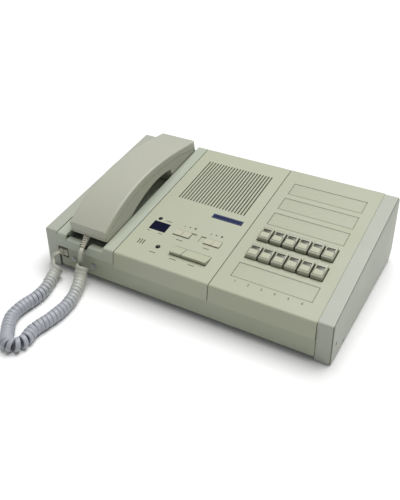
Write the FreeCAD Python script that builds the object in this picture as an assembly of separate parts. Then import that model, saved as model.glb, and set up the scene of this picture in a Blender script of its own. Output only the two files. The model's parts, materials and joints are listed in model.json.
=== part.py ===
"""Desk intercom with a handset: sloping three-part top, two end caps, speaker, keys and a curly cord.

Millimetres. +Z is up, the front faces -Y, +X is to the right. The origin is at the middle of the
case's footprint, at the level of the rubber feet. Pieces on the sloping top are drawn in the slope's
own frame: x across, v up the slope from its front edge, h along its normal.
"""
import FreeCAD
import Part
import math
import os
from FreeCAD import Placement, Rotation, Vector

os.makedirs("parts", exist_ok=True)

# ---------------------------------------------------------------- case: driving dimensions
KEY_W = 127.0            # width of the key module
SPEAKER_W = 127.0        # width of the speaker module
CRADLE_W = 85.5          # width of the handset cradle
CAP_T = 18.7             # thickness of an end cap
CASE_DEPTH = 221.0       # front edge of the slope to the rear face
FRONT_H = 50.4           # height of the slope's front edge
SLOPE = 10.12            # degrees
SKIRT_Z = 29.6           # parting line between base and top mouldings
CRADLE_SKIRT_Z = 33.7    # the same along the front of the cradle, where the base stands higher
SKIRT_LEAN = 2.7         # how far the front skirts stand forward at their foot
BASE_SETBACK = 1.5       # base wall behind the foot of the skirts
FOOT_H = 6.4             # underside of the base above the table
CAP_FOOT_Z = 1.0         # underside of the end caps above the table
CAP_PROUD = 1.0          # end caps stand this much above the slope
WALL = 2.5               # moulded wall
SIDE_WALL = 2.0          # walls where two mouldings meet
SEAM = 0.9               # gap between neighbouring top mouldings
EDGE_R = 3.2             # soft front edge of the top mouldings
SOCKET_GAP_W = 4.8       # base wall stops this far short of the left end cap
CAP_CORNER = (9.0, 14.0) # lower rear corner of an end cap, cut off
CAP_EDGE_R = 3.0         # outer edges of the end caps
GROOVE_X = 1.0           # parting groove round the right end cap, in from its outer face
GROOVE_W = 0.7
GROOVE_DEPTH = 1.3       # below the square corner, so less below the rounded edge
CAP_SLOTS = ((9.2, 20.5), (35.5, 3.4))    # low slots of the right end cap, from its front and z
CAP_SLOT_SIZE = (2.8, 5.0)

# ---------------------------------------------------------------- clearances
SLIDE_GAP = 0.3          # between pieces that move past each other
FIT_GAP = 0.35           # round covers, windows and lamps
PIN_GAP = 0.05           # radial, hinge pin in its bores

# ---------------------------------------------------------------- speaker module, x from its left edge
GRILLE_SLOTS = 23
GRILLE_PITCH = 4.2
GRILLE_X = 17.8          # first slot
GRILLE_V = 117.6         # near end of the slots
GRILLE_L = 82.6
GRILLE_SLOT_W = 1.7
DISPLAY_X = 14.9
DISPLAY_V = 52.7
DISPLAY_W = 22.2
DISPLAY_L = 14.6
DISPLAY_T = 1.2
DISPLAY_LEDGE = 1.5
LAMP_PROUD = 1.8
STATUS_LAMP = (19.0, DISPLAY_V + DISPLAY_L + 5.5)
STATUS_LAMP_R = 2.4
CALL_LAMP = (43.4, 29.0)
CALL_LAMP_R = 2.7
MIC_X = 16.6
MIC_V = 25.4
MIC_SLOT_W = 1.3
MIC_SLOT_L = 7.6
MIC_PITCH = 3.25
MIC_SLOTS = 3
PLATE_X = 75.8
PLATE_V = 99.8
PLATE_W = 40.3
PLATE_L = 7.1
PLATE_T = 0.6
PLATE_PROUD = 0.25
TROUGH_V = 54.5
TROUGH_L = 10.8
TROUGH_W = 28.6
TROUGH_DEPTH = 1.2
TROUGH_X = (47.4, 81.9)  # left edges of the two slide troughs
SLIDER_W = 21.6
SLIDER_H = 1.4           # front edge of a slide cap above the slope
SLIDER_REAR_H = 0.3
SLIDER_STEM_W = 4.0
BAR_X = 62.2             # left edge of the press bars
BAR_V = 24.6             # front edge of the press bars
BAR_L = 14.0
BAR_H = 4.0              # front edge above the slope
NARROW_BAR_W = 15.3
WIDE_BAR_W = 32.0
BAR_GAP = 0.6            # between the two bars
BAR_FRONT_GAP = 0.9
BAR_PIN_R = 1.0
BAR_PIN_DROP = 4.6       # pin axis below the slope

# ---------------------------------------------------------------- key module, x from its left edge
ROW_PITCH = 30.8         # strips and key rows share one pitch
FIRST_ROW_V = 34.3       # middle of the front strip
STRIP_ROWS = (0, 3, 4, 5)
KEY_ROWS = (2, 1)
STRIP_X = 16.2
STRIP_W = 95.3
STRIP_L = 22.0
STRIP_DEPTH = 1.2
STRIP_GAP = 0.6          # outline gap round a strip's cover
COVER_SUNK = 0.9         # part of a cover's thickness below the panel's face
COVER_PROUD = 0.5        # and above it
KEYS_PER_ROW = 6
KEY_PITCH = 15.75
KEY_X = 16.4             # left edge of the first key
KEY_GAP = 1.8            # between neighbouring keys
KEY_L = 20.6
KEY_H = 5.0              # top of the keys above the slope
KEY_NOSE_R = 2.2         # rounded front edge of the top
KEY_TRAVEL = 2.5
KEY_CORNER_R = 1.3
KEY_LABEL_W = 11.8
KEY_LABEL_L = 8.8
KEY_LABEL_V = 2.5        # margin before the label
KEY_LENS_W = 9.6
KEY_LENS_L = 4.6
KEY_LENS_GAP = 0.5       # between the label and the lamp window
KEY_LABEL_DEPTH = 0.5
KEY_LENS_DEPTH = 1.6
KEY_FLANGE = 1.4         # flange reach under the panel, front and rear
KEY_FLANGE_T = 1.6
KEY_STEM = (9.0, 12.0)   # stem section across and along
KEY_SWITCH_H = 4.3
KEY_SWITCH_W = 6.0
GUIDE_T = 2.0

# ---------------------------------------------------------------- cradle and handset
RAIL_W = 15.2            # right rail beside the speaker module
TRAY_W = 56.0
TRAY_DEPTH = 14.0
LIP_Z = 45.0             # top of the low front lip
LIP_T = 8.0
LIP_FRONT_R = 2.6
LIP_REAR_R = 1.5
REAR_WALL_T = 3.0
REAR_SILL = 6.0          # rear wall of the tray below the slope
CORD_SLOT_W = 10.0
CORD_SLOT_DEPTH = 6.0
CORD_SLOT_LEAN = 2.6     # its right side leans out by this much on the way up
TRAY_SIDE_GAP = 1.0      # beside the handset
TRAY_REAR_GAP = 2.96     # behind it
HANDSET_FRONT_V = 9.0
HANDSET_CROWN_H = 34.9   # top of the arch above the slope
HANDSET_END_H = 14.5     # top edge at both ends
HANDSET_WALL = 2.4
HANDSET_BACK = ((0.224, 4.9), (0.434, 0.0), (0.711, 5.9))      # share of the length, drop below the crown
HANDSET_GRIP = ((0.243, 13.7), (0.358, 5.2), (0.511, 0.0))     # share of the length, drop below the grip
HANDSET_PARTING = ((0.210, 14.7), (0.434, 9.9), (0.697, 14.9)) # share of the length, drop below the crown
GRIP_RISE = 14.2         # underside of the grip above the slope
MOUTH_L = 37.0           # mouth block, at the front
EAR_L = 64.5             # ear block, at the rear
CHIN_L = 13.0            # slanted front of the mouth block
EAR_REAR_L = 11.0        # slanted rear of the ear block
SHELL_GAP = 0.3          # shadow line between the two shells
HANDSET_CORNER_R = 4.0   # seen from above
HANDSET_EDGE_R = 2.6     # long edges of the back
HOOK_TRAVEL = 4.0
HOOK_SIZE = (6.0, 10.0)

# ---------------------------------------------------------------- cord
CORD_D = 4.0
COIL_D = 15.5
BOOT_START = Vector(-130.6, -98.7, 51.6)
BOOT_END = Vector(-127.0, -113.2, 44.5)
BOOT_W = (8.4, 5.8)      # flat strain relief, at the handset and at the cord
BOOT_T = (5.0, 4.4)
BOOT_RINGS = 6
BOOT_RING_DEPTH = 1.1
BOOT_RING_SHARE = 0.55   # of the pitch
BOOT_RECESS = (0.8, 1.2) # sunk seat round its root in the chin, gap and depth
PLUG_NOSE_X = 2.3        # cord's nose left of the plug's middle
PLUG_NOSE_L = 3.3
LEAD_ROUTE = [(-126.9, -113.5, 44.3), (-126.0, -118.7, 41.0), (-126.9, -119.3, 34.0),
              (-127.6, -117.6, 22.4)]
COIL_ROUTE = [(-123.5, -120.9, 23.8), (-122.4, -125.2, 14.2), (-118.6, -136.5, 8.1), (-109.5, -155.2, 7.8),
              (-105.1, -175.8, 7.8), (-106.3, -199.8, 7.8), (-111.0, -221.5, 7.8), (-105.2, -235.8, 7.8),
              (-110.9, -247.9, 7.8), (-123.8, -248.9, 7.8), (-134.6, -237.0, 7.8), (-147.4, -219.1, 7.8),
              (-149.2, -198.7, 7.8), (-145.4, -177.2, 7.8), (-147.6, -159.4, 7.8), (-156.7, -140.5, 7.8),
              (-161.0, -121.5, 8.0)]
BASE_LEAD_ROUTE = [(-162.5, -113.6, 26.9), (-163.8, -119.0, 27.4), (-168.2, -121.2, 23.4),
                   (-169.3, -119.8, 16.8), (-165.6, -123.2, 10.8)]

# ---------------------------------------------------------------- inside
POST_R = 4.5             # screw posts of the base
POST_INSET = 14.0        # from the front edge of the slope and from the rear
POST_X_INSETS = (32.0, 8.0, 12.0)   # from the cradle's, speaker module's and key module's outer ends
SCREW_R = 1.5
SCREW_HEAD_R = 3.0
SCREW_HEAD_T = 2.0
SCREW_L = 26.0
FRONT_SCREW_XS = (15.0, 45.5)   # from the middle of the cord socket
FRONT_SCREW_Z = 20.5
FRONT_SCREW_L = 9.0
MAIN_BOARD_Z = 16.0
BOARD_T = 1.6
MAIN_BOARD_W = 200.0
MAIN_BOARD_L = 172.0
BOARD_POST_R = 3.0
STEM_L = 3.0             # slide cap's stem, along the slope
STEM_FOOT = 2.5          # stem foot below the panel
LUG_T = 3.0              # lugs that hold the press bars' pin
CONTROL_BOARD_DROP = 15.0
CONTROL_BOARD_V = (18.0, 111.0)
STUD_R = 2.6
BAR_SWITCH_H = 6.0
SPEAKER_R = 38.5
SPEAKER_RIM = 5.0
BASKET_DEPTH = 18.0
BASKET_END_R = 16.0
BASKET_WINDOW_W = 13.0
CONE_DEPTH = 12.0
CONE_END_R = 9.0
MAGNET_R = 19.0
MAGNET_T = 9.0
HOOK_SWITCH_H = (-33.0, -26.0)
RECEIVER_R = 19.0
RECEIVER_T = 9.0
TRANSMITTER_R = 7.0
TRANSMITTER_T = 7.0
LINE_SOCKET_W = 14.0
LINE_SOCKET_H = 11.0
LINE_SOCKET_X = 40.0     # from the left edge of the main board
SOCKET_W = 13.4
SOCKET_H = 14.0
SOCKET_L = 12.0
PLUG_W = 11.4
PLUG_H = 8.4
FOOT_R = 8.0
FOOT_INSET = 22.0
CAP_LUG_L = 10.0         # lugs between the base and the left end cap
CAP_LUG_INSETS = (60.0, 50.0)   # from the front and from the rear
HOOK_SWITCH_L = 18.0
FRONT_HEAD_R = 3.0
FRONT_HEAD_T = 1.1
LINE_SOCKET_L = 17.0
BOOT_ROOT_L = 3.5

# ---------------------------------------------------------------- derived places
TOTAL_W = 2 * CAP_T + CRADLE_W + SPEAKER_W + KEY_W
CRADLE_X = -TOTAL_W / 2 + CAP_T
SPEAKER_X = CRADLE_X + CRADLE_W
KEY_MODULE_X = SPEAKER_X + SPEAKER_W
CASE_RIGHT_X = KEY_MODULE_X + KEY_W
Y_FRONT = (SKIRT_LEAN - CASE_DEPTH) / 2
Y_REAR = Y_FRONT + CASE_DEPTH
Y_BASE = Y_FRONT - SKIRT_LEAN + BASE_SETBACK
SIN = math.sin(math.radians(SLOPE))
COS = math.cos(math.radians(SLOPE))
TAN = SIN / COS
TOP_FRAME = Placement(Vector(0, Y_FRONT, FRONT_H), Rotation(Vector(1, 0, 0), SLOPE))
TRAY_X = SPEAKER_X - RAIL_W - TRAY_W
TRAY_MID_X = TRAY_X + TRAY_W / 2
TRAY_UNDER_H = -TRAY_DEPTH - WALL
SOCKET_X = CRADLE_X + 9.6
SOCKET_Z = 26.0
POST_XS = (CRADLE_X + POST_X_INSETS[0], SPEAKER_X + POST_X_INSETS[1], CASE_RIGHT_X - POST_X_INSETS[2])
POST_YS = (Y_FRONT + POST_INSET, Y_REAR - POST_INSET)
SCREW_TOP_Z = FOOT_H + WALL + SCREW_L
CAP_LUG_YS = (Y_FRONT + CAP_LUG_INSETS[0], Y_REAR - CAP_LUG_INSETS[1])
MAIN_BOARD_X = SPEAKER_X + 22.0
MAIN_BOARD_Y = Y_REAR - WALL - 2.5 - MAIN_BOARD_L
BOARD_POST_XS = (MAIN_BOARD_X + 6.0, MAIN_BOARD_X + MAIN_BOARD_W - 6.0)
BOARD_POST_YS = (MAIN_BOARD_Y + 6.0, MAIN_BOARD_Y + MAIN_BOARD_L - 6.0)
LINE_X = MAIN_BOARD_X + LINE_SOCKET_X
LINE_Z = MAIN_BOARD_Z + BOARD_T
BARS_X = SPEAKER_X + BAR_X
BARS_W = NARROW_BAR_W + BAR_GAP + WIDE_BAR_W
PIN_V = BAR_V + BAR_L - 3.0
BAR_SIDE_GAP = SLIDE_GAP + 0.1
KEY_SIDE_GAP = SLIDE_GAP + 0.5
SLIDER_REST = (TROUGH_W - SLIDER_W) / 2 - SLIDE_GAP
HOOK_RIB_X = HOOK_SIZE[0] / 2 + 2.4
CONTROL_BOARD_H = -CONTROL_BOARD_DROP
BAR_SWITCH_TOP_H = CONTROL_BOARD_H + BAR_SWITCH_H
CONTROL_POSTS = [(x, v) for x in (8.0, SPEAKER_W - 8.0)
                 for v in (CONTROL_BOARD_V[0] + 5.0, CONTROL_BOARD_V[1] - 5.0)]
KEY_FLANGE_TOP = -WALL - SLIDE_GAP
KEY_FLANGE_LOW = KEY_FLANGE_TOP - KEY_FLANGE_T
GUIDE_TOP_H = KEY_FLANGE_LOW - KEY_TRAVEL - SLIDE_GAP
GUIDE_LOW_H = GUIDE_TOP_H - GUIDE_T
KEY_STEM_LOW_H = GUIDE_LOW_H - KEY_TRAVEL - 1.0
KEY_SWITCH_TOP_H = KEY_STEM_LOW_H - KEY_TRAVEL - SLIDE_GAP
KEY_BOARD_TOP_H = KEY_SWITCH_TOP_H - KEY_SWITCH_H
KEY_WIDTH = KEY_PITCH - KEY_GAP
HANDSET_FLOOR_H = -TRAY_DEPTH + SLIDE_GAP
HANDSET_W = TRAY_W - 2 * TRAY_SIDE_GAP
HANDSET_REAR_V = (CASE_DEPTH - REAR_WALL_T) / COS - TRAY_REAR_GAP
MOUTH_REAR_V = HANDSET_FRONT_V + MOUTH_L
EAR_FRONT_V = HANDSET_REAR_V - EAR_L
MOUTH_V = (HANDSET_FRONT_V + CHIN_L + MOUTH_REAR_V - 4.0) / 2
EAR_V = (EAR_FRONT_V + 2.5 + HANDSET_REAR_V - EAR_REAR_L) / 2
HOOK_V = EAR_V + 4.0


def key_row_v(row):
    """Front edge of the keys in a row, counted from the front strip."""
    return FIRST_ROW_V + row * ROW_PITCH - KEY_L / 2


KEY_FIELD = (KEY_MODULE_X + KEY_X - 6.0, KEY_MODULE_X + KEY_X + KEYS_PER_ROW * KEY_PITCH + 6.0,
             key_row_v(min(KEY_ROWS)) - 8.0, key_row_v(max(KEY_ROWS)) + KEY_L + 8.0)
GUIDE_POSTS = [(x, v) for x in (KEY_FIELD[0] + 3.0, KEY_FIELD[1] - 3.0)
               for v in (KEY_FIELD[2] + 3.0, KEY_FIELD[3] - 3.0)]


# ---------------------------------------------------------------- helpers
def box(x0, x1, y0, y1, z0, z1):
    return Part.makeBox(x1 - x0, y1 - y0, z1 - z0, Vector(x0, y0, z0))


def rod(radius, start, end):
    """Round bar between two points."""
    along = Vector(*end) - Vector(*start)
    return Part.makeCylinder(radius, along.Length, Vector(*start), along)


def side_prism(outline, x0, x1):
    """Closed outline of (y, z) points drawn across from x0 to x1."""
    corners = [Vector(x0, y, z) for y, z in outline]
    wire = Part.makePolygon(corners + corners[:1])
    return Part.Face(wire).extrude(Vector(x1 - x0, 0, 0))


def edges_along(shape, axis):
    """Straight edges that run parallel to an axis."""
    found = []
    for edge in shape.Edges:
        if len(edge.Vertexes) != 2:
            continue
        run = edge.Vertexes[1].Point - edge.Vertexes[0].Point
        if run.Length > 1e-6 and abs(run.dot(axis)) / run.Length > 0.999:
            found.append(edge)
    return found


def rounded_block(x0, x1, y0, y1, z0, z1, radius):
    """Box with its upright edges rounded."""
    block = box(x0, x1, y0, y1, z0, z1)
    return block.makeFillet(radius, edges_along(block, Vector(0, 0, 1)))


def on_slope(shape):
    """Move a shape drawn in the slope's frame onto the sloping top."""
    moved = shape.copy()
    moved.Placement = TOP_FRAME.multiply(moved.Placement)
    return moved


def slope_point(x, v, h):
    return TOP_FRAME.multVec(Vector(x, v, h))


def top_z(y, drop=0.0):
    """Height of the sloping top at y, or of a plane that lies drop below it."""
    return FRONT_H + (y - Y_FRONT) * TAN - drop / COS


def swept_tube(route, diameter):
    """Tube along straight runs joined by tangent arcs."""
    points = [Vector(*p) for p in route]
    edges = []
    here = points[0]
    radii = []
    for before, corner, after in zip(points, points[1:], points[2:]):
        inward = before - corner
        outward = after - corner
        reach = 0.45 * min(inward.Length, outward.Length)
        half_turn = (math.pi - inward.getAngle(outward)) / 2
        radii.append(reach / math.tan(half_turn))
        inward.normalize()
        outward.normalize()
        start = corner + inward * reach
        end = corner + outward * reach
        bisector = (inward + outward).normalize()
        centre = corner + bisector * (radii[-1] / math.cos(half_turn))
        middle = centre - bisector * radii[-1]
        edges.append(Part.LineSegment(here, start).toShape())
        edges.append(Part.Arc(start, middle, end).toShape())
        here = end
    edges.append(Part.LineSegment(here, points[-1]).toShape())
    path = Part.Wire(edges)
    ring = Part.Wire(Part.makeCircle(diameter / 2, points[0], points[1] - points[0]))
    tube = path.makePipe(Part.Face(ring))
    section = math.pi * diameter ** 2 / 4
    print("cord radii", [round(r, 1) for r in radii], "length", round(path.Length, 1),
          "volume ratio", round(tube.Volume / (section * path.Length), 4))
    return tube


def save(node, shape):
    """Write one node's solids."""
    shape.exportStep("parts/%s.step" % node)
    solids = shape.Solids
    print(node, len(solids), "solid(s)", "ok" if shape.isValid() else "NOT VALID")


# ---------------------------------------------------------------- case mouldings
def outer_outline():
    return [(Y_FRONT - SKIRT_LEAN, SKIRT_Z), (Y_FRONT, FRONT_H),
            (Y_REAR, top_z(Y_REAR)), (Y_REAR, SKIRT_Z)]


def inner_outline():
    """Cavity of a top moulding, open downwards."""
    front = Y_FRONT + WALL
    rear = Y_REAR - WALL
    return [(front - SKIRT_LEAN, SKIRT_Z - 1), (front - SKIRT_LEAN, SKIRT_Z),
            (front, top_z(front, WALL)), (rear, top_z(rear, WALL)), (rear, SKIRT_Z - 1)]


def screw_bosses(left, right):
    """Bosses over the base's screw posts, up to the roof, for the posts between left and right."""
    bosses = []
    for x in POST_XS:
        if not left < x < right:
            continue
        for y in POST_YS:
            boss = rod(POST_R, (x, y, SKIRT_Z), (x, y, top_z(y, WALL) - POST_R * TAN + 1))
            bosses.append(boss.cut(rod(SCREW_R, (x, y, SKIRT_Z - 1), (x, y, SCREW_TOP_Z))))
    return bosses


def top_moulding(left, width):
    """Open-bottomed shell with a sloping roof and a soft front edge."""
    x0 = left + SEAM / 2
    x1 = left + width - SEAM / 2
    shell = side_prism(outer_outline(), x0, x1)
    front_edges = [e for e in edges_along(shell, Vector(1, 0, 0))
                   if abs(e.CenterOfMass.z - FRONT_H) < 0.01]
    shell = shell.makeFillet(EDGE_R, front_edges)
    return shell.cut(side_prism(inner_outline(), x0 + SIDE_WALL, x1 - SIDE_WALL))


def base_case():
    """Low tray that everything stands in, with screw posts, board posts and two side lugs."""
    left = CRADLE_X + SOCKET_GAP_W
    floor = FOOT_H + WALL
    case = box(left, CASE_RIGHT_X, Y_BASE, Y_REAR, FOOT_H, SKIRT_Z)
    case = case.cut(box(left + WALL, CASE_RIGHT_X - WALL, Y_BASE + WALL, Y_REAR - WALL, floor, SKIRT_Z + 1))
    for x in POST_XS:
        for y in POST_YS:
            case = case.fuse(rod(POST_R, (x, y, floor - 1), (x, y, SKIRT_Z)))
            case = case.cut(rod(SCREW_R + FIT_GAP, (x, y, FOOT_H - 1), (x, y, SKIRT_Z + 1)))
            case = case.cut(rod(SCREW_HEAD_R + FIT_GAP, (x, y, FOOT_H - 1), (x, y, floor)))
    for x in BOARD_POST_XS:
        for y in BOARD_POST_YS:
            case = case.fuse(rod(BOARD_POST_R, (x, y, floor - 1), (x, y, MAIN_BOARD_Z)))
    for y in CAP_LUG_YS:
        case = case.fuse(box(CRADLE_X, left + 1, y, y + CAP_LUG_L, floor, SKIRT_Z - WALL))
    case = case.fuse(box(left, SPEAKER_X - SEAM / 2, Y_BASE, Y_BASE + WALL, SKIRT_Z - 1, CRADLE_SKIRT_Z))
    front_notch = box(left - 1, SOCKET_X + SOCKET_W / 2, Y_BASE - 1, Y_BASE + WALL + SOCKET_L + 1,
                      SOCKET_Z - SOCKET_H / 2, CRADLE_SKIRT_Z + 1)
    case = case.cut(front_notch)
    for offset in FRONT_SCREW_XS:
        hole_start = (SOCKET_X + offset, Y_BASE - 1, FRONT_SCREW_Z)
        hole_end = (SOCKET_X + offset, Y_BASE + WALL + 1, FRONT_SCREW_Z)
        case = case.cut(rod(SCREW_R, hole_start, hole_end))
    half = LINE_SOCKET_W / 2
    return case.cut(box(LINE_X - half, LINE_X + half, Y_REAR - WALL - 1, Y_REAR + 1,
                        LINE_Z, LINE_Z + LINE_SOCKET_H)).removeSplitter()


def cap_outline(inset):
    """Side outline of an end cap, drawn in from its edges by inset."""
    top = CAP_PROUD / COS - inset
    return [(Y_FRONT + inset, CAP_FOOT_Z + inset), (Y_FRONT + inset, top_z(Y_FRONT + inset) + top),
            (Y_REAR - inset, top_z(Y_REAR - inset) + top),
            (Y_REAR - inset, CAP_FOOT_Z + CAP_CORNER[1] + inset / 2),
            (Y_REAR - CAP_CORNER[0] - inset / 2, CAP_FOOT_Z + inset)]


def end_cap(inner_x, outward):
    """Thick side panel with soft edges, hollow towards the case. outward is -1 left, +1 right."""
    outer_x = inner_x + outward * CAP_T
    low, high = sorted((inner_x, outer_x))
    cap = side_prism(cap_outline(0), low, high)
    soft = [e for e in edges_along(cap, Vector(1, 0, 0)) if e.CenterOfMass.z > FRONT_H - 1]
    cap = cap.makeFillet(EDGE_R, soft)
    rim = [e for e in cap.Edges if abs(e.CenterOfMass.x - outer_x) < 0.01]
    cap = cap.makeFillet(CAP_EDGE_R, rim)
    low, high = sorted((inner_x - outward, outer_x - outward * WALL))
    return cap.cut(side_prism(cap_outline(WALL + 1.5), low, high))


def right_end_cap():
    """The right cap also has a groove round it and two small upright slots low in its side."""
    outer_x = CASE_RIGHT_X + CAP_T
    low = outer_x - GROOVE_X - GROOVE_W
    high = outer_x - GROOVE_X
    core = side_prism(cap_outline(GROOVE_DEPTH), low - 1, high + 1)
    soft = [e for e in edges_along(core, Vector(1, 0, 0)) if e.CenterOfMass.z > FRONT_H - 2 * GROOVE_DEPTH]
    groove = side_prism(cap_outline(-1), low, high).cut(core.makeFillet(EDGE_R, soft))
    cap = end_cap(CASE_RIGHT_X, 1).cut(groove)
    for y, z in CAP_SLOTS:
        cap = cap.cut(box(outer_x - WALL - 1, outer_x + 1, Y_FRONT + y, Y_FRONT + y + CAP_SLOT_SIZE[0],
                          z, z + CAP_SLOT_SIZE[1]))
    return cap


def lip_rounding(y, reach):
    """What rounding takes off the lip's edge at y. reach is the radius, towards the rear if positive."""
    near, far = sorted((y - reach, y + reach))
    centre_z = LIP_Z - abs(reach)
    corner = box(TRAY_X, TRAY_X + TRAY_W, near, far, centre_z, LIP_Z + 1)
    core = rod(abs(reach), (TRAY_X - 1, y + reach, centre_z), (TRAY_X + TRAY_W + 1, y + reach, centre_z))
    return corner.cut(core)


def cord_slot():
    """Slot through the lip for the handset's strain relief, with one leaning side."""
    left = (BOOT_START.x + BOOT_END.x - CORD_SLOT_W) / 2
    right = left + CORD_SLOT_W
    low = LIP_Z - CORD_SLOT_DEPTH
    high = LIP_Z + 1
    y = Y_FRONT - WALL - 1
    corners = [Vector(left, y, low), Vector(right, y, low), Vector(right + CORD_SLOT_LEAN, y, high),
               Vector(left, y, high)]
    wire = Part.makePolygon(corners + corners[:1])
    return Part.Face(wire).extrude(Vector(0, LIP_T + 2 * WALL + 2, 0))


def cradle_housing():
    """Shoulder, deep tray with a low front lip, and right rail, in one moulding."""
    x0 = TRAY_X
    x1 = TRAY_X + TRAY_W
    front = LIP_T / COS
    beyond = 2 * CASE_DEPTH
    shell = top_moulding(CRADLE_X, CRADLE_W).fuse(screw_bosses(CRADLE_X, SPEAKER_X))
    skin = on_slope(box(x0 - WALL, x1 + WALL, front - WALL, beyond, TRAY_UNDER_H, 0))
    lip = box(x0 - 1, x1 + 1, Y_FRONT - WALL, Y_FRONT + LIP_T + WALL, LIP_Z - WALL, LIP_Z)
    housing = shell.fuse([piece.common(side_prism(outer_outline(), x0 - WALL, x1 + WALL))
                          for piece in (skin, lip)])
    void = on_slope(box(x0, x1, front, beyond, -TRAY_DEPTH, FRONT_H))
    housing = housing.cut(void.common(box(x0, x1, Y_FRONT, Y_REAR - REAR_WALL_T, 0, 3 * FRONT_H)))
    housing = housing.cut(box(x0, x1, Y_FRONT - WALL - 1, Y_FRONT + LIP_T + 1, LIP_Z, FRONT_H + WALL))
    housing = housing.cut(on_slope(box(x0, x1, CASE_DEPTH - 20, beyond, -REAR_SILL, FRONT_H)))
    front_face = Y_FRONT - SKIRT_LEAN * (FRONT_H - LIP_Z + LIP_FRONT_R) / (FRONT_H - SKIRT_Z)
    rear_face = Y_FRONT + LIP_T + (FRONT_H - LIP_Z) * SIN
    housing = housing.cut([lip_rounding(front_face, LIP_FRONT_R), lip_rounding(rear_face, -LIP_REAR_R),
                           cord_slot()])
    housing = housing.cut(box(CRADLE_X, SPEAKER_X, Y_FRONT - SKIRT_LEAN - 1, Y_BASE + WALL,
                              SKIRT_Z - 1, CRADLE_SKIRT_Z))
    for side in (-1, 1):
        near, far = sorted((side * HOOK_RIB_X, side * (HOOK_RIB_X + SIDE_WALL)))
        rib = box(TRAY_MID_X + near, TRAY_MID_X + far, HOOK_V - HOOK_SWITCH_L / 2,
                  HOOK_V + HOOK_SWITCH_L / 2, HOOK_SWITCH_H[0], TRAY_UNDER_H + 0.5)
        housing = housing.fuse(on_slope(rib))
    half_w = HOOK_SIZE[0] / 2 + SLIDE_GAP
    half_l = HOOK_SIZE[1] / 2 + SLIDE_GAP
    hole = box(TRAY_MID_X - half_w, TRAY_MID_X + half_w, HOOK_V - half_l, HOOK_V + half_l,
               TRAY_UNDER_H - 1, -TRAY_DEPTH + 1)
    return housing.cut(on_slope(hole))


def grille_slots():
    slots = []
    for i in range(GRILLE_SLOTS):
        x = SPEAKER_X + GRILLE_X + i * GRILLE_PITCH
        slots.append(box(x - GRILLE_SLOT_W / 2, x + GRILLE_SLOT_W / 2, GRILLE_V, GRILLE_V + GRILLE_L,
                         -WALL - 1, 1))
    for i in range(MIC_SLOTS):
        x = SPEAKER_X + MIC_X + i * MIC_PITCH
        slots.append(box(x - MIC_SLOT_W / 2, x + MIC_SLOT_W / 2, MIC_V, MIC_V + MIC_SLOT_L, -WALL - 1, 1))
    return slots


def recess(x, v, width, length, depth, gap=FIT_GAP):
    """Shallow pocket for a flat piece, with its fitting gap all round."""
    return box(x - gap, x + width + gap, v - gap, v + length + gap, -depth, 1)


def speaker_panel():
    """Panel over the loudspeaker, display and controls."""
    cutters = grille_slots()
    for (x, v), radius in ((STATUS_LAMP, STATUS_LAMP_R), (CALL_LAMP, CALL_LAMP_R)):
        cutters.append(rod(radius + FIT_GAP, (SPEAKER_X + x, v, -WALL - 1), (SPEAKER_X + x, v, 1)))
    x = SPEAKER_X + DISPLAY_X
    cutters.append(recess(x, DISPLAY_V, DISPLAY_W, DISPLAY_L, DISPLAY_T))
    cutters.append(box(x + DISPLAY_LEDGE, x + DISPLAY_W - DISPLAY_LEDGE, DISPLAY_V + DISPLAY_LEDGE,
                       DISPLAY_V + DISPLAY_L - DISPLAY_LEDGE, -WALL - 1, 0))
    cutters.append(recess(SPEAKER_X + PLATE_X, PLATE_V, PLATE_W, PLATE_L, PLATE_T))
    middle = TROUGH_V + TROUGH_L / 2
    slot_half = (SLIDER_STEM_W + TROUGH_W - SLIDER_W) / 2
    for trough in TROUGH_X:
        x = SPEAKER_X + trough
        cutters.append(rounded_block(x, x + TROUGH_W, TROUGH_V, TROUGH_V + TROUGH_L, -TROUGH_DEPTH, 1, 1.2))
        cutters.append(box(x + TROUGH_W / 2 - slot_half, x + TROUGH_W / 2 + slot_half,
                           middle - STEM_L / 2 - SLIDE_GAP, middle + STEM_L / 2 + SLIDE_GAP, -WALL - 1, 0))
    cutters.append(box(BARS_X - BAR_SIDE_GAP, BARS_X + BARS_W + BAR_SIDE_GAP, BAR_V - BAR_FRONT_GAP,
                       BAR_V + BAR_L + SLIDE_GAP, -WALL - 1, 1))
    panel = top_moulding(SPEAKER_X, SPEAKER_W).cut([on_slope(c) for c in cutters])
    panel = panel.fuse(screw_bosses(SPEAKER_X, KEY_MODULE_X))
    reach = BAR_PIN_R + 1.8
    for x in (BARS_X - 2 * SLIDE_GAP - LUG_T, BARS_X + BARS_W + 2 * SLIDE_GAP):
        lug = box(x, x + LUG_T, PIN_V - reach, PIN_V + reach, -BAR_PIN_DROP - reach, -WALL + 0.2)
        hole = rod(BAR_PIN_R, (x - 1, PIN_V, -BAR_PIN_DROP), (x + LUG_T + 1, PIN_V, -BAR_PIN_DROP))
        panel = panel.fuse(on_slope(lug.cut(hole)))
    for x, v in CONTROL_POSTS:
        stud = rod(STUD_R, (SPEAKER_X + x, v, CONTROL_BOARD_H), (SPEAKER_X + x, v, -WALL + 0.3))
        panel = panel.fuse(on_slope(stud))
    return panel


def strip_corner(row):
    return KEY_MODULE_X + STRIP_X, FIRST_ROW_V + row * ROW_PITCH - STRIP_L / 2


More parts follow.
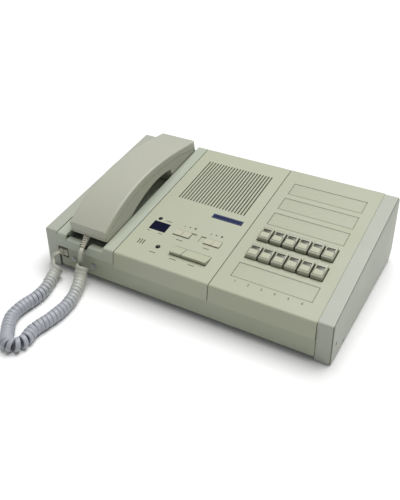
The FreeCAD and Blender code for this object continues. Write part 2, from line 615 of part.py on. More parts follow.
def key_panel():
    """Panel with four label strips and two rows of keys."""
    cutters = []
    for row in STRIP_ROWS:
        x, v = strip_corner(row)
        cutters.append(recess(x, v, STRIP_W, STRIP_L, STRIP_DEPTH, STRIP_GAP))
    x = KEY_MODULE_X + KEY_X + KEY_GAP / 2
    for row in KEY_ROWS:
        v = key_row_v(row)
        cutters.append(box(x - KEY_SIDE_GAP, x + KEYS_PER_ROW * KEY_PITCH - KEY_GAP + KEY_SIDE_GAP,
                           v - KEY_SIDE_GAP, v + KEY_L + KEY_SIDE_GAP, -WALL - 1, 1))
    panel = top_moulding(KEY_MODULE_X, KEY_W).cut([on_slope(c) for c in cutters])
    panel = panel.fuse(screw_bosses(KEY_MODULE_X, CASE_RIGHT_X))
    for x, v in GUIDE_POSTS:
        panel = panel.fuse(on_slope(rod(STUD_R, (x, v, GUIDE_TOP_H), (x, v, -WALL + 0.3))))
    return panel


# ---------------------------------------------------------------- keys
def key_places():
    """Left front corner of every key, rear row first."""
    places = []
    for row in KEY_ROWS:
        for i in range(KEYS_PER_ROW):
            places.append((KEY_MODULE_X + KEY_X + i * KEY_PITCH + KEY_GAP / 2, key_row_v(row)))
    return places


def stem_centre(x, v):
    return x + KEY_WIDTH / 2, v + KEY_L / 2


def station_key(x, v):
    """Key cap with a rounded front, a label recess, a lamp window, a flange and a stem."""
    cap = box(x, x + KEY_WIDTH, v, v + KEY_L, KEY_FLANGE_LOW, KEY_H)
    front = [e for e in edges_along(cap, Vector(1, 0, 0)) if e.CenterOfMass.y < v + 1 and e.CenterOfMass.z > 0]
    cap = cap.makeFillet(KEY_NOSE_R, front)
    cap = cap.makeFillet(KEY_CORNER_R, edges_along(cap, Vector(0, 0, 1)))
    cap = cap.fuse(box(x + KEY_CORNER_R, x + KEY_WIDTH - KEY_CORNER_R, v - KEY_FLANGE,
                       v + KEY_L + KEY_FLANGE, KEY_FLANGE_LOW, KEY_FLANGE_TOP))
    mid_x, mid_v = stem_centre(x, v)
    lens_v = KEY_LABEL_V + KEY_LABEL_L + KEY_LENS_GAP
    for width, start, length, depth in ((KEY_LABEL_W, KEY_LABEL_V, KEY_LABEL_L, KEY_LABEL_DEPTH),
                                        (KEY_LENS_W, lens_v, KEY_LENS_L, KEY_LENS_DEPTH)):
        cap = cap.cut(box(mid_x - width / 2, mid_x + width / 2, v + start, v + start + length,
                          KEY_H - depth, KEY_H + 1))
    stem = box(mid_x - KEY_STEM[0] / 2, mid_x + KEY_STEM[0] / 2, mid_v - KEY_STEM[1] / 2,
               mid_v + KEY_STEM[1] / 2, KEY_STEM_LOW_H, KEY_FLANGE_LOW + 0.2)
    return cap.fuse(stem).removeSplitter()


def key_guide():
    """Plate under the keys with a guide hole for each stem, hung from the panel's studs."""
    x0, x1, v0, v1 = KEY_FIELD
    plate = box(x0, x1, v0, v1, GUIDE_LOW_H, GUIDE_TOP_H)
    half_w = KEY_STEM[0] / 2 + SLIDE_GAP
    half_l = KEY_STEM[1] / 2 + SLIDE_GAP
    for x, v in key_places():
        mid_x, mid_v = stem_centre(x, v)
        plate = plate.cut(box(mid_x - half_w, mid_x + half_w, mid_v - half_l, mid_v + half_l,
                              GUIDE_LOW_H - 1, GUIDE_TOP_H + 1))
    for x, v in GUIDE_POSTS:
        plate = plate.fuse(rod(STUD_R, (x, v, KEY_BOARD_TOP_H), (x, v, GUIDE_TOP_H - 0.2)))
    return plate


def key_switches():
    half = KEY_SWITCH_W / 2
    switches = []
    for x, v in key_places():
        mid_x, mid_v = stem_centre(x, v)
        switches.append(box(mid_x - half, mid_x + half, mid_v - half, mid_v + half,
                            KEY_BOARD_TOP_H, KEY_SWITCH_TOP_H))
    return Part.makeCompound(switches)


# ---------------------------------------------------------------- controls of the speaker module
def slider_cap(trough, side):
    """Finger cap in its trough, with a stem and a foot under the panel. side is -1 left, +1 right."""
    middle_x = SPEAKER_X + trough + TROUGH_W / 2 + side * SLIDER_REST
    v0 = TROUGH_V + SLIDE_GAP + 0.1
    v1 = TROUGH_V + TROUGH_L - SLIDE_GAP - 0.1
    low = -TROUGH_DEPTH + SLIDE_GAP
    cap = side_prism([(v0, low), (v0, SLIDER_H), (v1, SLIDER_REAR_H), (v1, low)],
                     middle_x - SLIDER_W / 2, middle_x + SLIDER_W / 2)
    cap = cap.makeFillet(1.0, edges_along(cap, Vector(0, 0, 1)))
    middle_v = (v0 + v1) / 2
    foot_low = -WALL - STEM_FOOT
    stem = box(middle_x - SLIDER_STEM_W / 2, middle_x + SLIDER_STEM_W / 2, middle_v - STEM_L / 2,
               middle_v + STEM_L / 2, foot_low, low + 0.2)
    foot = box(middle_x - SLIDER_STEM_W / 2, middle_x + SLIDER_STEM_W / 2, middle_v - STEM_L / 2 - 1.2,
               middle_v + STEM_L / 2 + 1.2, foot_low, -WALL - SLIDE_GAP)
    return cap.fuse([stem, foot]).removeSplitter()


def slide_controls():
    """Two slide potentiometers on the control board, just under the feet of the caps."""
    pots = []
    for trough in TROUGH_X:
        x = SPEAKER_X + trough
        pots.append(box(x + 2, x + TROUGH_W - 2, TROUGH_V + 1.5, TROUGH_V + TROUGH_L - 1.5,
                        CONTROL_BOARD_H, -WALL - STEM_FOOT - SLIDE_GAP))
    return Part.makeCompound(pots)


def press_bar(x, width):
    """Wedge that swings on a pin under its rear edge."""
    low = -WALL - 0.5
    outline = [(BAR_V, low), (BAR_V, BAR_H), (BAR_V + 1.0, BAR_H + 0.3), (BAR_V + BAR_L, 0.0),
               (BAR_V + BAR_L, -1.5), (PIN_V + 1.0, low)]
    bar = side_prism(outline, x, x + width)
    hub = rod(BAR_PIN_R + 1.4, (x, PIN_V, -BAR_PIN_DROP), (x + width, PIN_V, -BAR_PIN_DROP))
    bore = rod(BAR_PIN_R + PIN_GAP, (x - 1, PIN_V, -BAR_PIN_DROP), (x + width + 1, PIN_V, -BAR_PIN_DROP))
    finger = box(x + width / 2 - 2, x + width / 2 + 2, BAR_V + 2, BAR_V + 5,
                 BAR_SWITCH_TOP_H + 1.6, low + 0.5)
    return bar.fuse([hub, finger]).cut(bore).removeSplitter()


def bar_switches():
    switches = []
    for x in (BARS_X + NARROW_BAR_W / 2, BARS_X + NARROW_BAR_W + BAR_GAP + WIDE_BAR_W / 2):
        switches.append(box(x - 3, x + 3, BAR_V + 1, BAR_V + 6, CONTROL_BOARD_H, BAR_SWITCH_TOP_H))
    return Part.makeCompound(switches)


def lamp(place, radius):
    """Round lamp with a domed nose, a collar under the panel and two legs down to the board."""
    x = SPEAKER_X + place[0]
    v = place[1]
    collar_low = -WALL - 3.5
    body = rod(radius, (x, v, collar_low), (x, v, LAMP_PROUD - radius))
    dome = Part.makeSphere(radius, Vector(x, v, LAMP_PROUD - radius))
    collar = rod(radius + 0.9, (x, v, collar_low), (x, v, -WALL - 0.2))
    legs = [box(x + side - 0.4, x + side + 0.4, v - 0.4, v + 0.4, CONTROL_BOARD_H, collar_low + 0.2)
            for side in (-1.0, 1.0)]
    return body.fuse([dome, collar] + legs).removeSplitter()


def display_module():
    x = SPEAKER_X + DISPLAY_X
    return box(x + 2.5, x + DISPLAY_W - 2.5, DISPLAY_V + 0.5, DISPLAY_V + DISPLAY_L - 0.5,
               CONTROL_BOARD_H, -WALL - 0.3)


def microphone():
    x = SPEAKER_X + MIC_X + MIC_PITCH
    v = MIC_V + MIC_SLOT_L / 2
    return rod(4.9, (x, v, CONTROL_BOARD_H), (x, v, -WALL - 0.3))


def loudspeaker():
    """Basket, cone and magnet of the round loudspeaker under the grille."""
    x = SPEAKER_X + GRILLE_X + (GRILLE_SLOTS - 1) * GRILLE_PITCH / 2
    v = GRILLE_V + GRILLE_L / 2
    top = -WALL
    down = Vector(0, 0, -1)

    def disc(radius, depth, drop):
        return Part.makeCylinder(radius, depth, Vector(x, v, top - drop), down)

    def funnel(radius, end_radius, depth, drop):
        return Part.makeCone(radius, end_radius, depth, Vector(x, v, top - drop), down)

    mouth_r = SPEAKER_R - SPEAKER_RIM
    frame = funnel(mouth_r + 2.0, BASKET_END_R, BASKET_DEPTH, 1.5)
    frame = frame.cut(funnel(mouth_r + 0.5, BASKET_END_R - 1.5, BASKET_DEPTH, 1.4))
    for angle in range(0, 180, 45):
        window = box(-2 * SPEAKER_R, 2 * SPEAKER_R, -BASKET_WINDOW_W / 2, BASKET_WINDOW_W / 2,
                     top - BASKET_DEPTH + 3.0, top - 5.0)
        window.Placement = Placement(Vector(x, v, 0), Rotation(Vector(0, 0, 1), angle))
        frame = frame.cut(window)
    basket = disc(SPEAKER_R, 2.0, 0).cut(disc(mouth_r, 4.0, -1)).fuse(frame)
    cone = funnel(mouth_r - 0.6, CONE_END_R, CONE_DEPTH, 1.0)
    cone = cone.cut(funnel(mouth_r - 1.4, CONE_END_R - 0.8, CONE_DEPTH, 0.5))
    surround = disc(mouth_r, 0.8, 0.6).cut(disc(mouth_r - 2.5, 3.0, 0))
    coil = disc(CONE_END_R - 0.4, BASKET_DEPTH + 1.0 - CONE_DEPTH, CONE_DEPTH + 0.4)
    return basket, cone.fuse([surround, coil]), disc(MAGNET_R, MAGNET_T, BASKET_DEPTH + 1.5)


# ---------------------------------------------------------------- handset
def smooth_edge(points):
    curve = Part.BSplineCurve()
    curve.interpolate([Vector(0, v, h) for v, h in points])
    return curve.toShape()


def along_handset(shares, top):
    """Points at shares of the handset's length, each dropped below top."""
    length = HANDSET_REAR_V - HANDSET_FRONT_V
    return [(HANDSET_FRONT_V + share * length, top - drop) for share, drop in shares]


def handset_block(inset, width):
    """Side outline of the handset, drawn in by inset, across the given width."""
    floor = HANDSET_FLOOR_H + inset
    front = HANDSET_FRONT_V + inset
    rear = HANDSET_REAR_V - inset
    end_h = HANDSET_END_H - inset
    arch = along_handset(HANDSET_BACK, HANDSET_CROWN_H - inset)
    hollow = along_handset(HANDSET_GRIP, GRIP_RISE + inset)
    back = smooth_edge([(front + 2.0, end_h)] + arch + [(rear - 1.0, end_h)])
    grip = smooth_edge([(MOUTH_REAR_V - inset, floor + 6.0)] + hollow
                       + [(EAR_FRONT_V + inset, GRIP_RISE - 5.2 + inset)])
    start, end = [vertex.Point for vertex in back.Vertexes]
    grip_front, grip_rear = [vertex.Point for vertex in grip.Vertexes]
    ear = [end, Vector(0, rear, 6.0), Vector(0, rear - 1.5, -2.0), Vector(0, rear - EAR_REAR_L, floor),
           Vector(0, EAR_FRONT_V + 2.5 + inset, floor), grip_rear]
    mouth = [grip_front, Vector(0, MOUTH_REAR_V - 4.0 - inset, floor),
             Vector(0, front + CHIN_L, floor), Vector(0, front, 1.8), start]
    edges = [back, grip]
    edges += [Part.makeLine(a, b) for a, b in zip(ear, ear[1:])]
    edges += [Part.makeLine(a, b) for a, b in zip(mouth, mouth[1:])]
    wire = Part.Wire(Part.__sortEdges__(edges))
    block = Part.Face(wire).extrude(Vector(width, 0, 0))
    block.translate(Vector(TRAY_MID_X - width / 2, 0, 0))
    return block


def parting_region(offset, reach):
    """Everything above (reach up) or below (reach down) the handset's parting curve."""
    inner = along_handset(HANDSET_PARTING, HANDSET_CROWN_H)
    points = [(HANDSET_FRONT_V - 4.0, 2.0)] + inner + [(HANDSET_REAR_V + 4.0, -0.5)]
    curve = smooth_edge([(v, h + offset) for v, h in points])
    first, last = [vertex.Point for vertex in curve.Vertexes]
    far_last = Vector(0, last.y, reach)
    far_first = Vector(0, first.y, reach)
    wire = Part.Wire([curve, Part.makeLine(last, far_last), Part.makeLine(far_last, far_first),
                      Part.makeLine(far_first, first)])
    region = Part.Face(wire).extrude(Vector(HANDSET_W + 4, 0, 0))
    region.translate(Vector(TRAY_MID_X - HANDSET_W / 2 - 2, 0, 0))
    return region


def handset_shells():
    """Top and bottom shell of the handset, hollow, parted along a curve below the arched back."""
    half = HANDSET_W / 2
    reach = 2 * HANDSET_W
    body = handset_block(0.0, HANDSET_W)
    long_edges = [e for e in body.Edges if e.Length > HANDSET_REAR_V / 2 and e.CenterOfMass.z > GRIP_RISE
                  and abs(abs(e.CenterOfMass.x - TRAY_MID_X) - half) < 0.5]
    body = body.makeFillet(HANDSET_EDGE_R, long_edges)
    plan = rounded_block(TRAY_MID_X - half, TRAY_MID_X + half, HANDSET_FRONT_V, HANDSET_REAR_V,
                         -reach, reach, HANDSET_CORNER_R)
    body = body.common(plan).cut(handset_block(HANDSET_WALL, HANDSET_W - 2 * HANDSET_WALL))
    top = body.common(parting_region(SHELL_GAP / 2, reach))
    bottom = body.common(parting_region(-SHELL_GAP / 2, -reach))
    return top, bottom.cut(sound_holes())


def sound_holes():
    """Six round holes under the ear and three slots under the mouth."""
    low = HANDSET_FLOOR_H - 1
    high = HANDSET_FLOOR_H + HANDSET_WALL + 1
    holes = []
    for i in range(6):
        x = TRAY_MID_X + 8 * math.cos(math.radians(60 * i))
        v = EAR_V + 8 * math.sin(math.radians(60 * i))
        holes.append(rod(1.2, (x, v, low), (x, v, high)))
    for i in (-1, 0, 1):
        x = TRAY_MID_X + i * 4.0
        holes.append(box(x - 0.8, x + 0.8, MOUTH_V - 5, MOUTH_V + 5, low, high))
    return holes


def handset_capsules():
    floor = HANDSET_FLOOR_H + HANDSET_WALL
    receiver = rod(RECEIVER_R, (TRAY_MID_X, EAR_V, floor), (TRAY_MID_X, EAR_V, floor + RECEIVER_T))
    transmitter = rod(TRANSMITTER_R, (TRAY_MID_X, MOUTH_V, floor),
                      (TRAY_MID_X, MOUTH_V, floor + TRANSMITTER_T))
    return receiver, transmitter


def along_boot(width, thickness, start, end):
    """Rounded bar of that section in the strain relief's line, between two distances from the chin."""
    bar = rounded_block(-width / 2, width / 2, -thickness / 2, thickness / 2, start, end, thickness * 0.4)
    run = (BOOT_END - BOOT_START).normalize()
    bar.Placement = Placement(BOOT_START, Rotation(Vector(1, 0, 0), Vector(), run, "ZXY"))
    return bar


def handset_boot():
    """Tapered flat strain relief with ribs, from inside the handset's chin to the cord."""
    pitch = (BOOT_END - BOOT_START).Length / BOOT_RINGS
    ribs = [along_boot(BOOT_W[0], BOOT_T[0], -BOOT_ROOT_L, BOOT_RING_SHARE * pitch)]
    for i in range(BOOT_RINGS):
        share = i / (BOOT_RINGS - 1)
        width = BOOT_W[0] + (BOOT_W[1] - BOOT_W[0]) * share
        thickness = BOOT_T[0] + (BOOT_T[1] - BOOT_T[0]) * share
        ribs.append(along_boot(width, thickness, i * pitch, (i + BOOT_RING_SHARE) * pitch))
        ribs.append(along_boot(width - 2 * BOOT_RING_DEPTH, thickness - 2 * BOOT_RING_DEPTH,
                               i * pitch, (i + 1) * pitch))
    return ribs[0].fuse(ribs[1:]).removeSplitter()


def boot_passage():
    """Close-fitting hole for the strain relief's root and the sunk seat round it."""
    gap, depth = BOOT_RECESS
    seat = along_boot(BOOT_W[0] + 2 * gap, BOOT_T[0] + 2 * gap, -depth, BOOT_ROOT_L)
    return along_boot(BOOT_W[0], BOOT_T[0], -BOOT_ROOT_L, BOOT_ROOT_L).fuse(seat)


def hook_parts():
    """Plunger that the handset holds down, and its switch."""
    half_w = HOOK_SIZE[0] / 2
    half_l = HOOK_SIZE[1] / 2
    flange_top = TRAY_UNDER_H - HOOK_TRAVEL - SLIDE_GAP
    plunger = box(TRAY_MID_X - half_w, TRAY_MID_X + half_w, HOOK_V - half_l, HOOK_V + half_l,
                  HOOK_SWITCH_H[1] + SLIDE_GAP, -TRAY_DEPTH)
    flange = box(TRAY_MID_X - half_w, TRAY_MID_X + half_w, HOOK_V - half_l - 1.5, HOOK_V + half_l + 1.5,
                 flange_top - 1.8, flange_top)
    switch = box(TRAY_MID_X - HOOK_RIB_X, TRAY_MID_X + HOOK_RIB_X, HOOK_V - HOOK_SWITCH_L / 2,
                 HOOK_V + HOOK_SWITCH_L / 2, HOOK_SWITCH_H[0], HOOK_SWITCH_H[1])
    return plunger.fuse(flange), switch


# ---------------------------------------------------------------- build everything
def build_case():
    save("base_case", base_case())
    save("left_end_cap", end_cap(CRADLE_X, -1))
    save("right_end_cap", right_end_cap())
    save("cradle_housing", cradle_housing())
    save("speaker_panel", speaker_panel())
    save("key_panel", key_panel())
    papers = []
    for number, row in enumerate(STRIP_ROWS, 1):
        x, v = strip_corner(row)
        save("strip_cover_%d" % number, on_slope(box(x, x + STRIP_W, v, v + STRIP_L, -COVER_SUNK, COVER_PROUD)))
        papers.append(box(x, x + STRIP_W, v, v + STRIP_L, -STRIP_DEPTH, -COVER_SUNK))
    save("strip_papers", on_slope(Part.makeCompound(papers)))
    x = SPEAKER_X + PLATE_X
    save("name_plate", on_slope(box(x, x + PLATE_W, PLATE_V, PLATE_V + PLATE_L, -PLATE_T, PLATE_PROUD)))


def build_speaker_module():
    x = SPEAKER_X + DISPLAY_X
    save("display_window", on_slope(box(x, x + DISPLAY_W, DISPLAY_V, DISPLAY_V + DISPLAY_L, -DISPLAY_T, 0)))
    save("display_module", on_slope(display_module()))
    save("status_lamp", on_slope(lamp(STATUS_LAMP, STATUS_LAMP_R)))
    save("call_lamp", on_slope(lamp(CALL_LAMP, CALL_LAMP_R)))
    save("microphone", on_slope(microphone()))
    for node, shape in zip(("speaker_basket", "speaker_cone", "speaker_magnet"), loudspeaker()):
        save(node, on_slope(shape))
    save("slider_left", on_slope(slider_cap(TROUGH_X[0], -1)))
    save("slider_right", on_slope(slider_cap(TROUGH_X[1], 1)))
    save("slide_controls", on_slope(slide_controls()))
    save("narrow_press_bar", on_slope(press_bar(BARS_X, NARROW_BAR_W)))
    save("wide_press_bar", on_slope(press_bar(BARS_X + NARROW_BAR_W + BAR_GAP, WIDE_BAR_W)))
    reach = 2 * SLIDE_GAP + LUG_T
    save("press_bar_pin", on_slope(rod(BAR_PIN_R, (BARS_X - reach, PIN_V, -BAR_PIN_DROP),
                                       (BARS_X + BARS_W + reach, PIN_V, -BAR_PIN_DROP))))
    save("bar_switches", on_slope(bar_switches()))
    board = box(SPEAKER_X + 5, KEY_MODULE_X - 5, CONTROL_BOARD_V[0], CONTROL_BOARD_V[1],
                CONTROL_BOARD_H - BOARD_T, CONTROL_BOARD_H)
    save("control_board", on_slope(board))


def build_key_module():
    for number, (x, v) in enumerate(key_places(), 1):
        save("station_key_%d" % number, on_slope(station_key(x, v)))
    save("key_guide", on_slope(key_guide()))
    save("key_switches", on_slope(key_switches()))
    x0, x1, v0, v1 = KEY_FIELD
    save("key_board", on_slope(box(x0, x1, v0, v1, KEY_BOARD_TOP_H - BOARD_T, KEY_BOARD_TOP_H)))


def build_handset():
    top, bottom = handset_shells()
    save("handset_top_shell", on_slope(top))
    save("handset_bottom_shell", on_slope(bottom).cut(boot_passage()))
    receiver, transmitter = handset_capsules()
    save("receiver_capsule", on_slope(receiver))
    save("transmitter_capsule", on_slope(transmitter))
    save("handset_boot", handset_boot())
    plunger, switch = hook_parts()
    save("hook_plunger", on_slope(plunger))
    save("hook_switch", on_slope(switch))


def build_sockets_and_cord():
    half = PLUG_W / 2
    jack = box(SOCKET_X - SOCKET_W / 2, SOCKET_X + SOCKET_W / 2, Y_BASE + WALL, Y_BASE + WALL + SOCKET_L,
               SOCKET_Z - SOCKET_H / 2, SOCKET_Z + SOCKET_H / 2)
    plug = box(SOCKET_X - half, SOCKET_X + half, Y_BASE - 1.0, Y_BASE + WALL + SOCKET_L - 2,
               SOCKET_Z - PLUG_H / 2, SOCKET_Z + PLUG_H / 2)
    nose_x = SOCKET_X - PLUG_NOSE_X
    nose = rounded_block(nose_x - 3, nose_x + 3, Y_BASE - PLUG_NOSE_L, Y_BASE,
                         SOCKET_Z - 3, SOCKET_Z + 3.4, 0.8)
    save("cord_socket", jack.cut(plug))
    save("cord_plug", plug.fuse(nose))
    save("handset_lead", swept_tube(LEAD_ROUTE, CORD_D))
    save("cord_coil", swept_tube(COIL_ROUTE, COIL_D))
    save("base_lead", swept_tube(BASE_LEAD_ROUTE, CORD_D))
    half = LINE_SOCKET_W / 2 - 0.2
    line = box(LINE_X - half, LINE_X + half, Y_REAR - LINE_SOCKET_L, Y_REAR,
               LINE_Z, LINE_Z + LINE_SOCKET_H - 0.2)
    half = PLUG_W / 2
    line_mouth = box(LINE_X - half, LINE_X + half, Y_REAR - LINE_SOCKET_L + 3, Y_REAR + 1, LINE_Z + 1.5,
                     LINE_Z + LINE_SOCKET_H - 1.7)
    save("line_socket", line.cut(line_mouth))


def build_boards_and_fasteners():
    save("main_board", box(MAIN_BOARD_X, MAIN_BOARD_X + MAIN_BOARD_W, MAIN_BOARD_Y,
                           MAIN_BOARD_Y + MAIN_BOARD_L, MAIN_BOARD_Z, MAIN_BOARD_Z + BOARD_T))
    screws = []
    for offset in FRONT_SCREW_XS:
        x = SOCKET_X + offset
        head = rod(FRONT_HEAD_R, (x, Y_BASE - FRONT_HEAD_T, FRONT_SCREW_Z), (x, Y_BASE, FRONT_SCREW_Z))
        shank = rod(SCREW_R, (x, Y_BASE, FRONT_SCREW_Z), (x, Y_BASE + FRONT_SCREW_L, FRONT_SCREW_Z))
        screws.append(head.fuse(shank))
    save("front_screws", Part.makeCompound(screws))
    screws = []
    seat = FOOT_H + WALL
    for x in POST_XS:
        for y in POST_YS:
            head = rod(SCREW_HEAD_R, (x, y, seat - SCREW_HEAD_T), (x, y, seat))
            screws.append(head.fuse(rod(SCREW_R, (x, y, seat), (x, y, seat + SCREW_L))))
    save("bottom_screws", Part.makeCompound(screws))
    feet = []
    for x in (CRADLE_X + FOOT_INSET, CASE_RIGHT_X - FOOT_INSET):
        for y in (Y_FRONT + 1.5 * FOOT_INSET, Y_REAR - 1.5 * FOOT_INSET):
            feet.append(Part.makeCone(FOOT_R - 0.8, FOOT_R, FOOT_H, Vector(x, y, 0), Vector(0, 0, 1)))
    save("rubber_feet", Part.makeCompound(feet))


build_case()
build_speaker_module()
build_key_module()
build_handset()
build_sockets_and_cord()
build_boards_and_fasteners()
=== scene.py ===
# %% [markdown]
# # A desk intercom with a handset, in Blender
# A construction model already holds the shapes of the part: sloping case, keys, slides, press bars and
# a lift-off handset, each on the body that it moves with. This script gives them their looks. It frames
# the object, lays the curly cord, builds one procedural material for each real material, adds the
# small pieces that a construction model leaves out, and lights everything on a pale table.
# Everything is in metres: X to the right, -Y towards the user, Z up, with the table at Z = 0.

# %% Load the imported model
import json
import math
import bmesh
import bpy
import numpy as np
from mathutils import Matrix, Vector


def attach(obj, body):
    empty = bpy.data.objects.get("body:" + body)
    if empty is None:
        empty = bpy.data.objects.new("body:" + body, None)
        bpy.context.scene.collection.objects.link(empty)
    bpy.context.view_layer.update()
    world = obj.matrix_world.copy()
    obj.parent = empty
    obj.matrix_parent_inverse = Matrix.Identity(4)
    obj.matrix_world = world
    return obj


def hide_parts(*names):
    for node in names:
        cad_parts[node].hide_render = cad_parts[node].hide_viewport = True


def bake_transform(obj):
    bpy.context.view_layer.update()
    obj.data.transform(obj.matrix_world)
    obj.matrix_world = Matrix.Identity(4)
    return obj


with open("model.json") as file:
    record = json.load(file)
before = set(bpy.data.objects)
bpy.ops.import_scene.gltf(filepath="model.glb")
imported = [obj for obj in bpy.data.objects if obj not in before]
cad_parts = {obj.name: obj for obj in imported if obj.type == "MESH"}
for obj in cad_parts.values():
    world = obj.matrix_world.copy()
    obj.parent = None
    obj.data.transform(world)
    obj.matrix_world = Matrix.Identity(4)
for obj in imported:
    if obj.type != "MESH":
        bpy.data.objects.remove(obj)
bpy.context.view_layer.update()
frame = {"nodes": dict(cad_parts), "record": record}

nodes = frame["nodes"]
scene = bpy.context.scene
MM = 0.001

# %% [markdown]
# ## The sloping top's own frame
# All controls sit on one plane that rises to the rear. Their places could be typed in the part's own
# frame, but then every one of them would have the slope worked into it by hand. Here a point is given
# as x across, v up the slope from its front edge and h above it, in millimetres, and `on_top` turns it
# into the part's frame.

# %% Slope frame
SLOPE = math.radians(10.12)
FRONT_Y, FRONT_Z = -109.15, 50.4    # front edge of the slope
UP_SLOPE = Vector((0, math.cos(SLOPE), math.sin(SLOPE)))
NORMAL = Vector((0, -math.sin(SLOPE), math.cos(SLOPE)))


def on_top(x, v, h=0.0):
    """That place of the slope in the part's frame, in metres."""
    origin = Vector((x, FRONT_Y, FRONT_Z))
    return (origin + UP_SLOPE * v + NORMAL * h) * MM


TOP_TURN = Matrix((Vector((1, 0, 0)), UP_SLOPE, NORMAL)).transposed().to_4x4()
print("slope", round(math.degrees(SLOPE), 2), "degrees")

# %% [markdown]
# ## Camera
# A three-quarter view from the right and above, close enough that the far edges shrink visibly.
# Turning the camera to centre the object would also change its perspective, so the lens is shifted
# instead, which only slides the object across the frame.

# %% Camera
camera_data = bpy.data.cameras.new("camera")
camera_data.lens = 45.49
camera_data.sensor_width = 36.0
camera_data.shift_x = -0.0695
camera_data.shift_y = -0.1061
camera = bpy.data.objects.new("camera", camera_data)
camera.location = (0.3183, -0.5783, 0.4757)
camera.rotation_euler = (math.radians(59.93), math.radians(-0.83), math.radians(27.99))
scene.collection.objects.link(camera)
scene.camera = camera
print("camera at", tuple(round(c, 3) for c in camera.location))

# %% [markdown]
# ## Curly cord
# The cord is flat: a jacket 5 mm wide and 3 mm thick, wound on its flat side, so that the coil looks
# banded. A bump drawn on a plain tube would look right from above only, so the whole helix is built.
# The routes below are its centreline, in millimetres: down from the handset's strain relief, round the
# loop that lies on the table, and up to the plug, whose lead lifts the end of the coil a little and
# opens it to the front. Each lead also has a list of directions, which the cord's flat side faces at
# its points.

# %% Cord: route
WIRE_W, WIRE_T = 0.0051, 0.0031     # the jacket's width and thickness
COIL_D = 0.0149                     # outer diameter of the coil
ROUTE_STEPS = 24                    # points that a curve draws between two points of the route
LEAD_ROUTE = [(-126.9, -113.5, 44.3), (-126.0, -118.7, 41.0), (-126.9, -119.3, 34.0),
              (-127.6, -117.6, 22.4)]
LEAD_FACING = [(0.0, 0.43, -0.87), (-0.25, 0.85, -0.4), (-0.5, 0.85, -0.1)]
COIL_ROUTE = [(-123.5, -120.9, 23.8), (-123.2, -125.6, 15.4), (-117.8, -136.0, 9.3), (-109.5, -155.2, 7.8),
              (-105.1, -175.8, 7.8), (-106.3, -199.8, 7.8), (-111.0, -221.5, 7.8), (-105.6, -236.2, 7.8),
              (-109.3, -248.4, 7.8), (-120.8, -249.4, 7.8), (-132.0, -235.6, 7.8), (-146.4, -218.4, 7.8),
              (-149.2, -198.7, 7.8), (-145.4, -177.2, 7.8), (-147.6, -159.4, 7.8), (-154.0, -144.6, 7.9),
              (-157.8, -133.4, 9.6), (-156.6, -127.6, 14.2)]
BASE_LEAD_ROUTE = [(-162.5, -113.6, 26.9), (-163.8, -119.0, 27.4), (-167.2, -121.4, 25.0),
                   (-167.4, -122.8, 20.6), (-162.4, -127.6, 16.4)]
BASE_LEAD_FACING = [(0.0, 0.0, 1.0), (0.05, -0.6, 0.8), (0.15, -0.8, 0.45), (-0.2, -0.85, 0.3)]


def line_through(points, resolution):
    """Smooth line along a NURBS curve with those control points, as an array of points."""
    data = bpy.data.curves.new("guide", "CURVE")
    data.dimensions = "3D"
    spline = data.splines.new("NURBS")
    spline.points.add(len(points) - 1)
    for target, point in zip(spline.points, points):
        target.co = (*point, 1.0)
    spline.order_u = 3
    spline.use_endpoint_u = True
    spline.resolution_u = resolution
    guide = bpy.data.objects.new("guide", data)
    scene.collection.objects.link(guide)
    bpy.context.view_layer.update()
    mesh = bpy.data.meshes.new_from_object(guide.evaluated_get(bpy.context.evaluated_depsgraph_get()))
    line = np.array([v.co for v in mesh.vertices])
    bpy.data.meshes.remove(mesh)
    bpy.data.objects.remove(guide)
    bpy.data.curves.remove(data)
    return line


def length_of(line):
    """Length of a line of points, in metres."""
    return float(np.linalg.norm(np.diff(line, axis=0), axis=1).sum())


coil_line = line_through([Vector(p) * MM for p in COIL_ROUTE], ROUTE_STEPS)
print("coil centreline", round(length_of(coil_line) * 1000, 1), "mm")

# %% [markdown]
# To wind the cord round that centreline, every point of the line needs two directions across it. If
# they were worked out at each point alone, the helix would twist wherever the line bends, so they are
# carried along from point to point instead.

# %% Cord: frames along the line
SAMPLE_GAP = 0.0005


def spaced_line(points, gap):
    """The same line with points at equal spacing, and the distance along it at each of them."""
    run = np.concatenate(([0], np.cumsum(np.linalg.norm(np.diff(points, axis=0), axis=1))))
    at = np.linspace(0, run[-1], int(run[-1] / gap) + 1)
    return np.stack([np.interp(at, run, points[:, k]) for k in range(3)], axis=1), at


def unit(vectors):
    """The same directions, each of length 1."""
    return vectors / np.linalg.norm(vectors, axis=1)[:, None]


def carried_frames(line, first):
    """Tangent and two directions across the line, carried along it without twist."""
    tangent = unit(np.gradient(line, axis=0))
    across = np.zeros_like(line)
    across[0] = first - tangent[0] * (first @ tangent[0])
    for k in range(1, len(line)):
        across[k] = across[k - 1] - tangent[k] * (across[k - 1] @ tangent[k])
    across = unit(across)
    return tangent, across, np.cross(tangent, across)


print("samples along the coil", len(spaced_line(coil_line, SAMPLE_GAP)[1]))

# %% [markdown]
# The cord's middle then runs round at the coil's mean radius, 14 points to a turn and left-handed. Its
# turns lie against each other on the table and are a little open where the coil hangs at its ends. In a
# few places they are pulled apart, or crowded inside the fold. No two turns of an old cord are quite
# alike, so each one is a little wider or narrower. The first and last turn begin where the two straight
# leads end. A screw modifier would wind a helix with fewer lines, but a straight and even one.

# %% Cord: helix
POINTS_PER_TURN = 14
RING_R = (COIL_D - WIRE_T) / 2      # from the coil's centreline to the middle of the jacket
PITCH = 1.01 * WIRE_W
HANGING_PITCH = 1.10 * WIRE_W
HANGING, LYING = 0.040, 0.070       # nearer its ends than the first the coil hangs, past the second it lies
UNEVEN = 0.0003                     # most that a turn's radius differs from RING_R
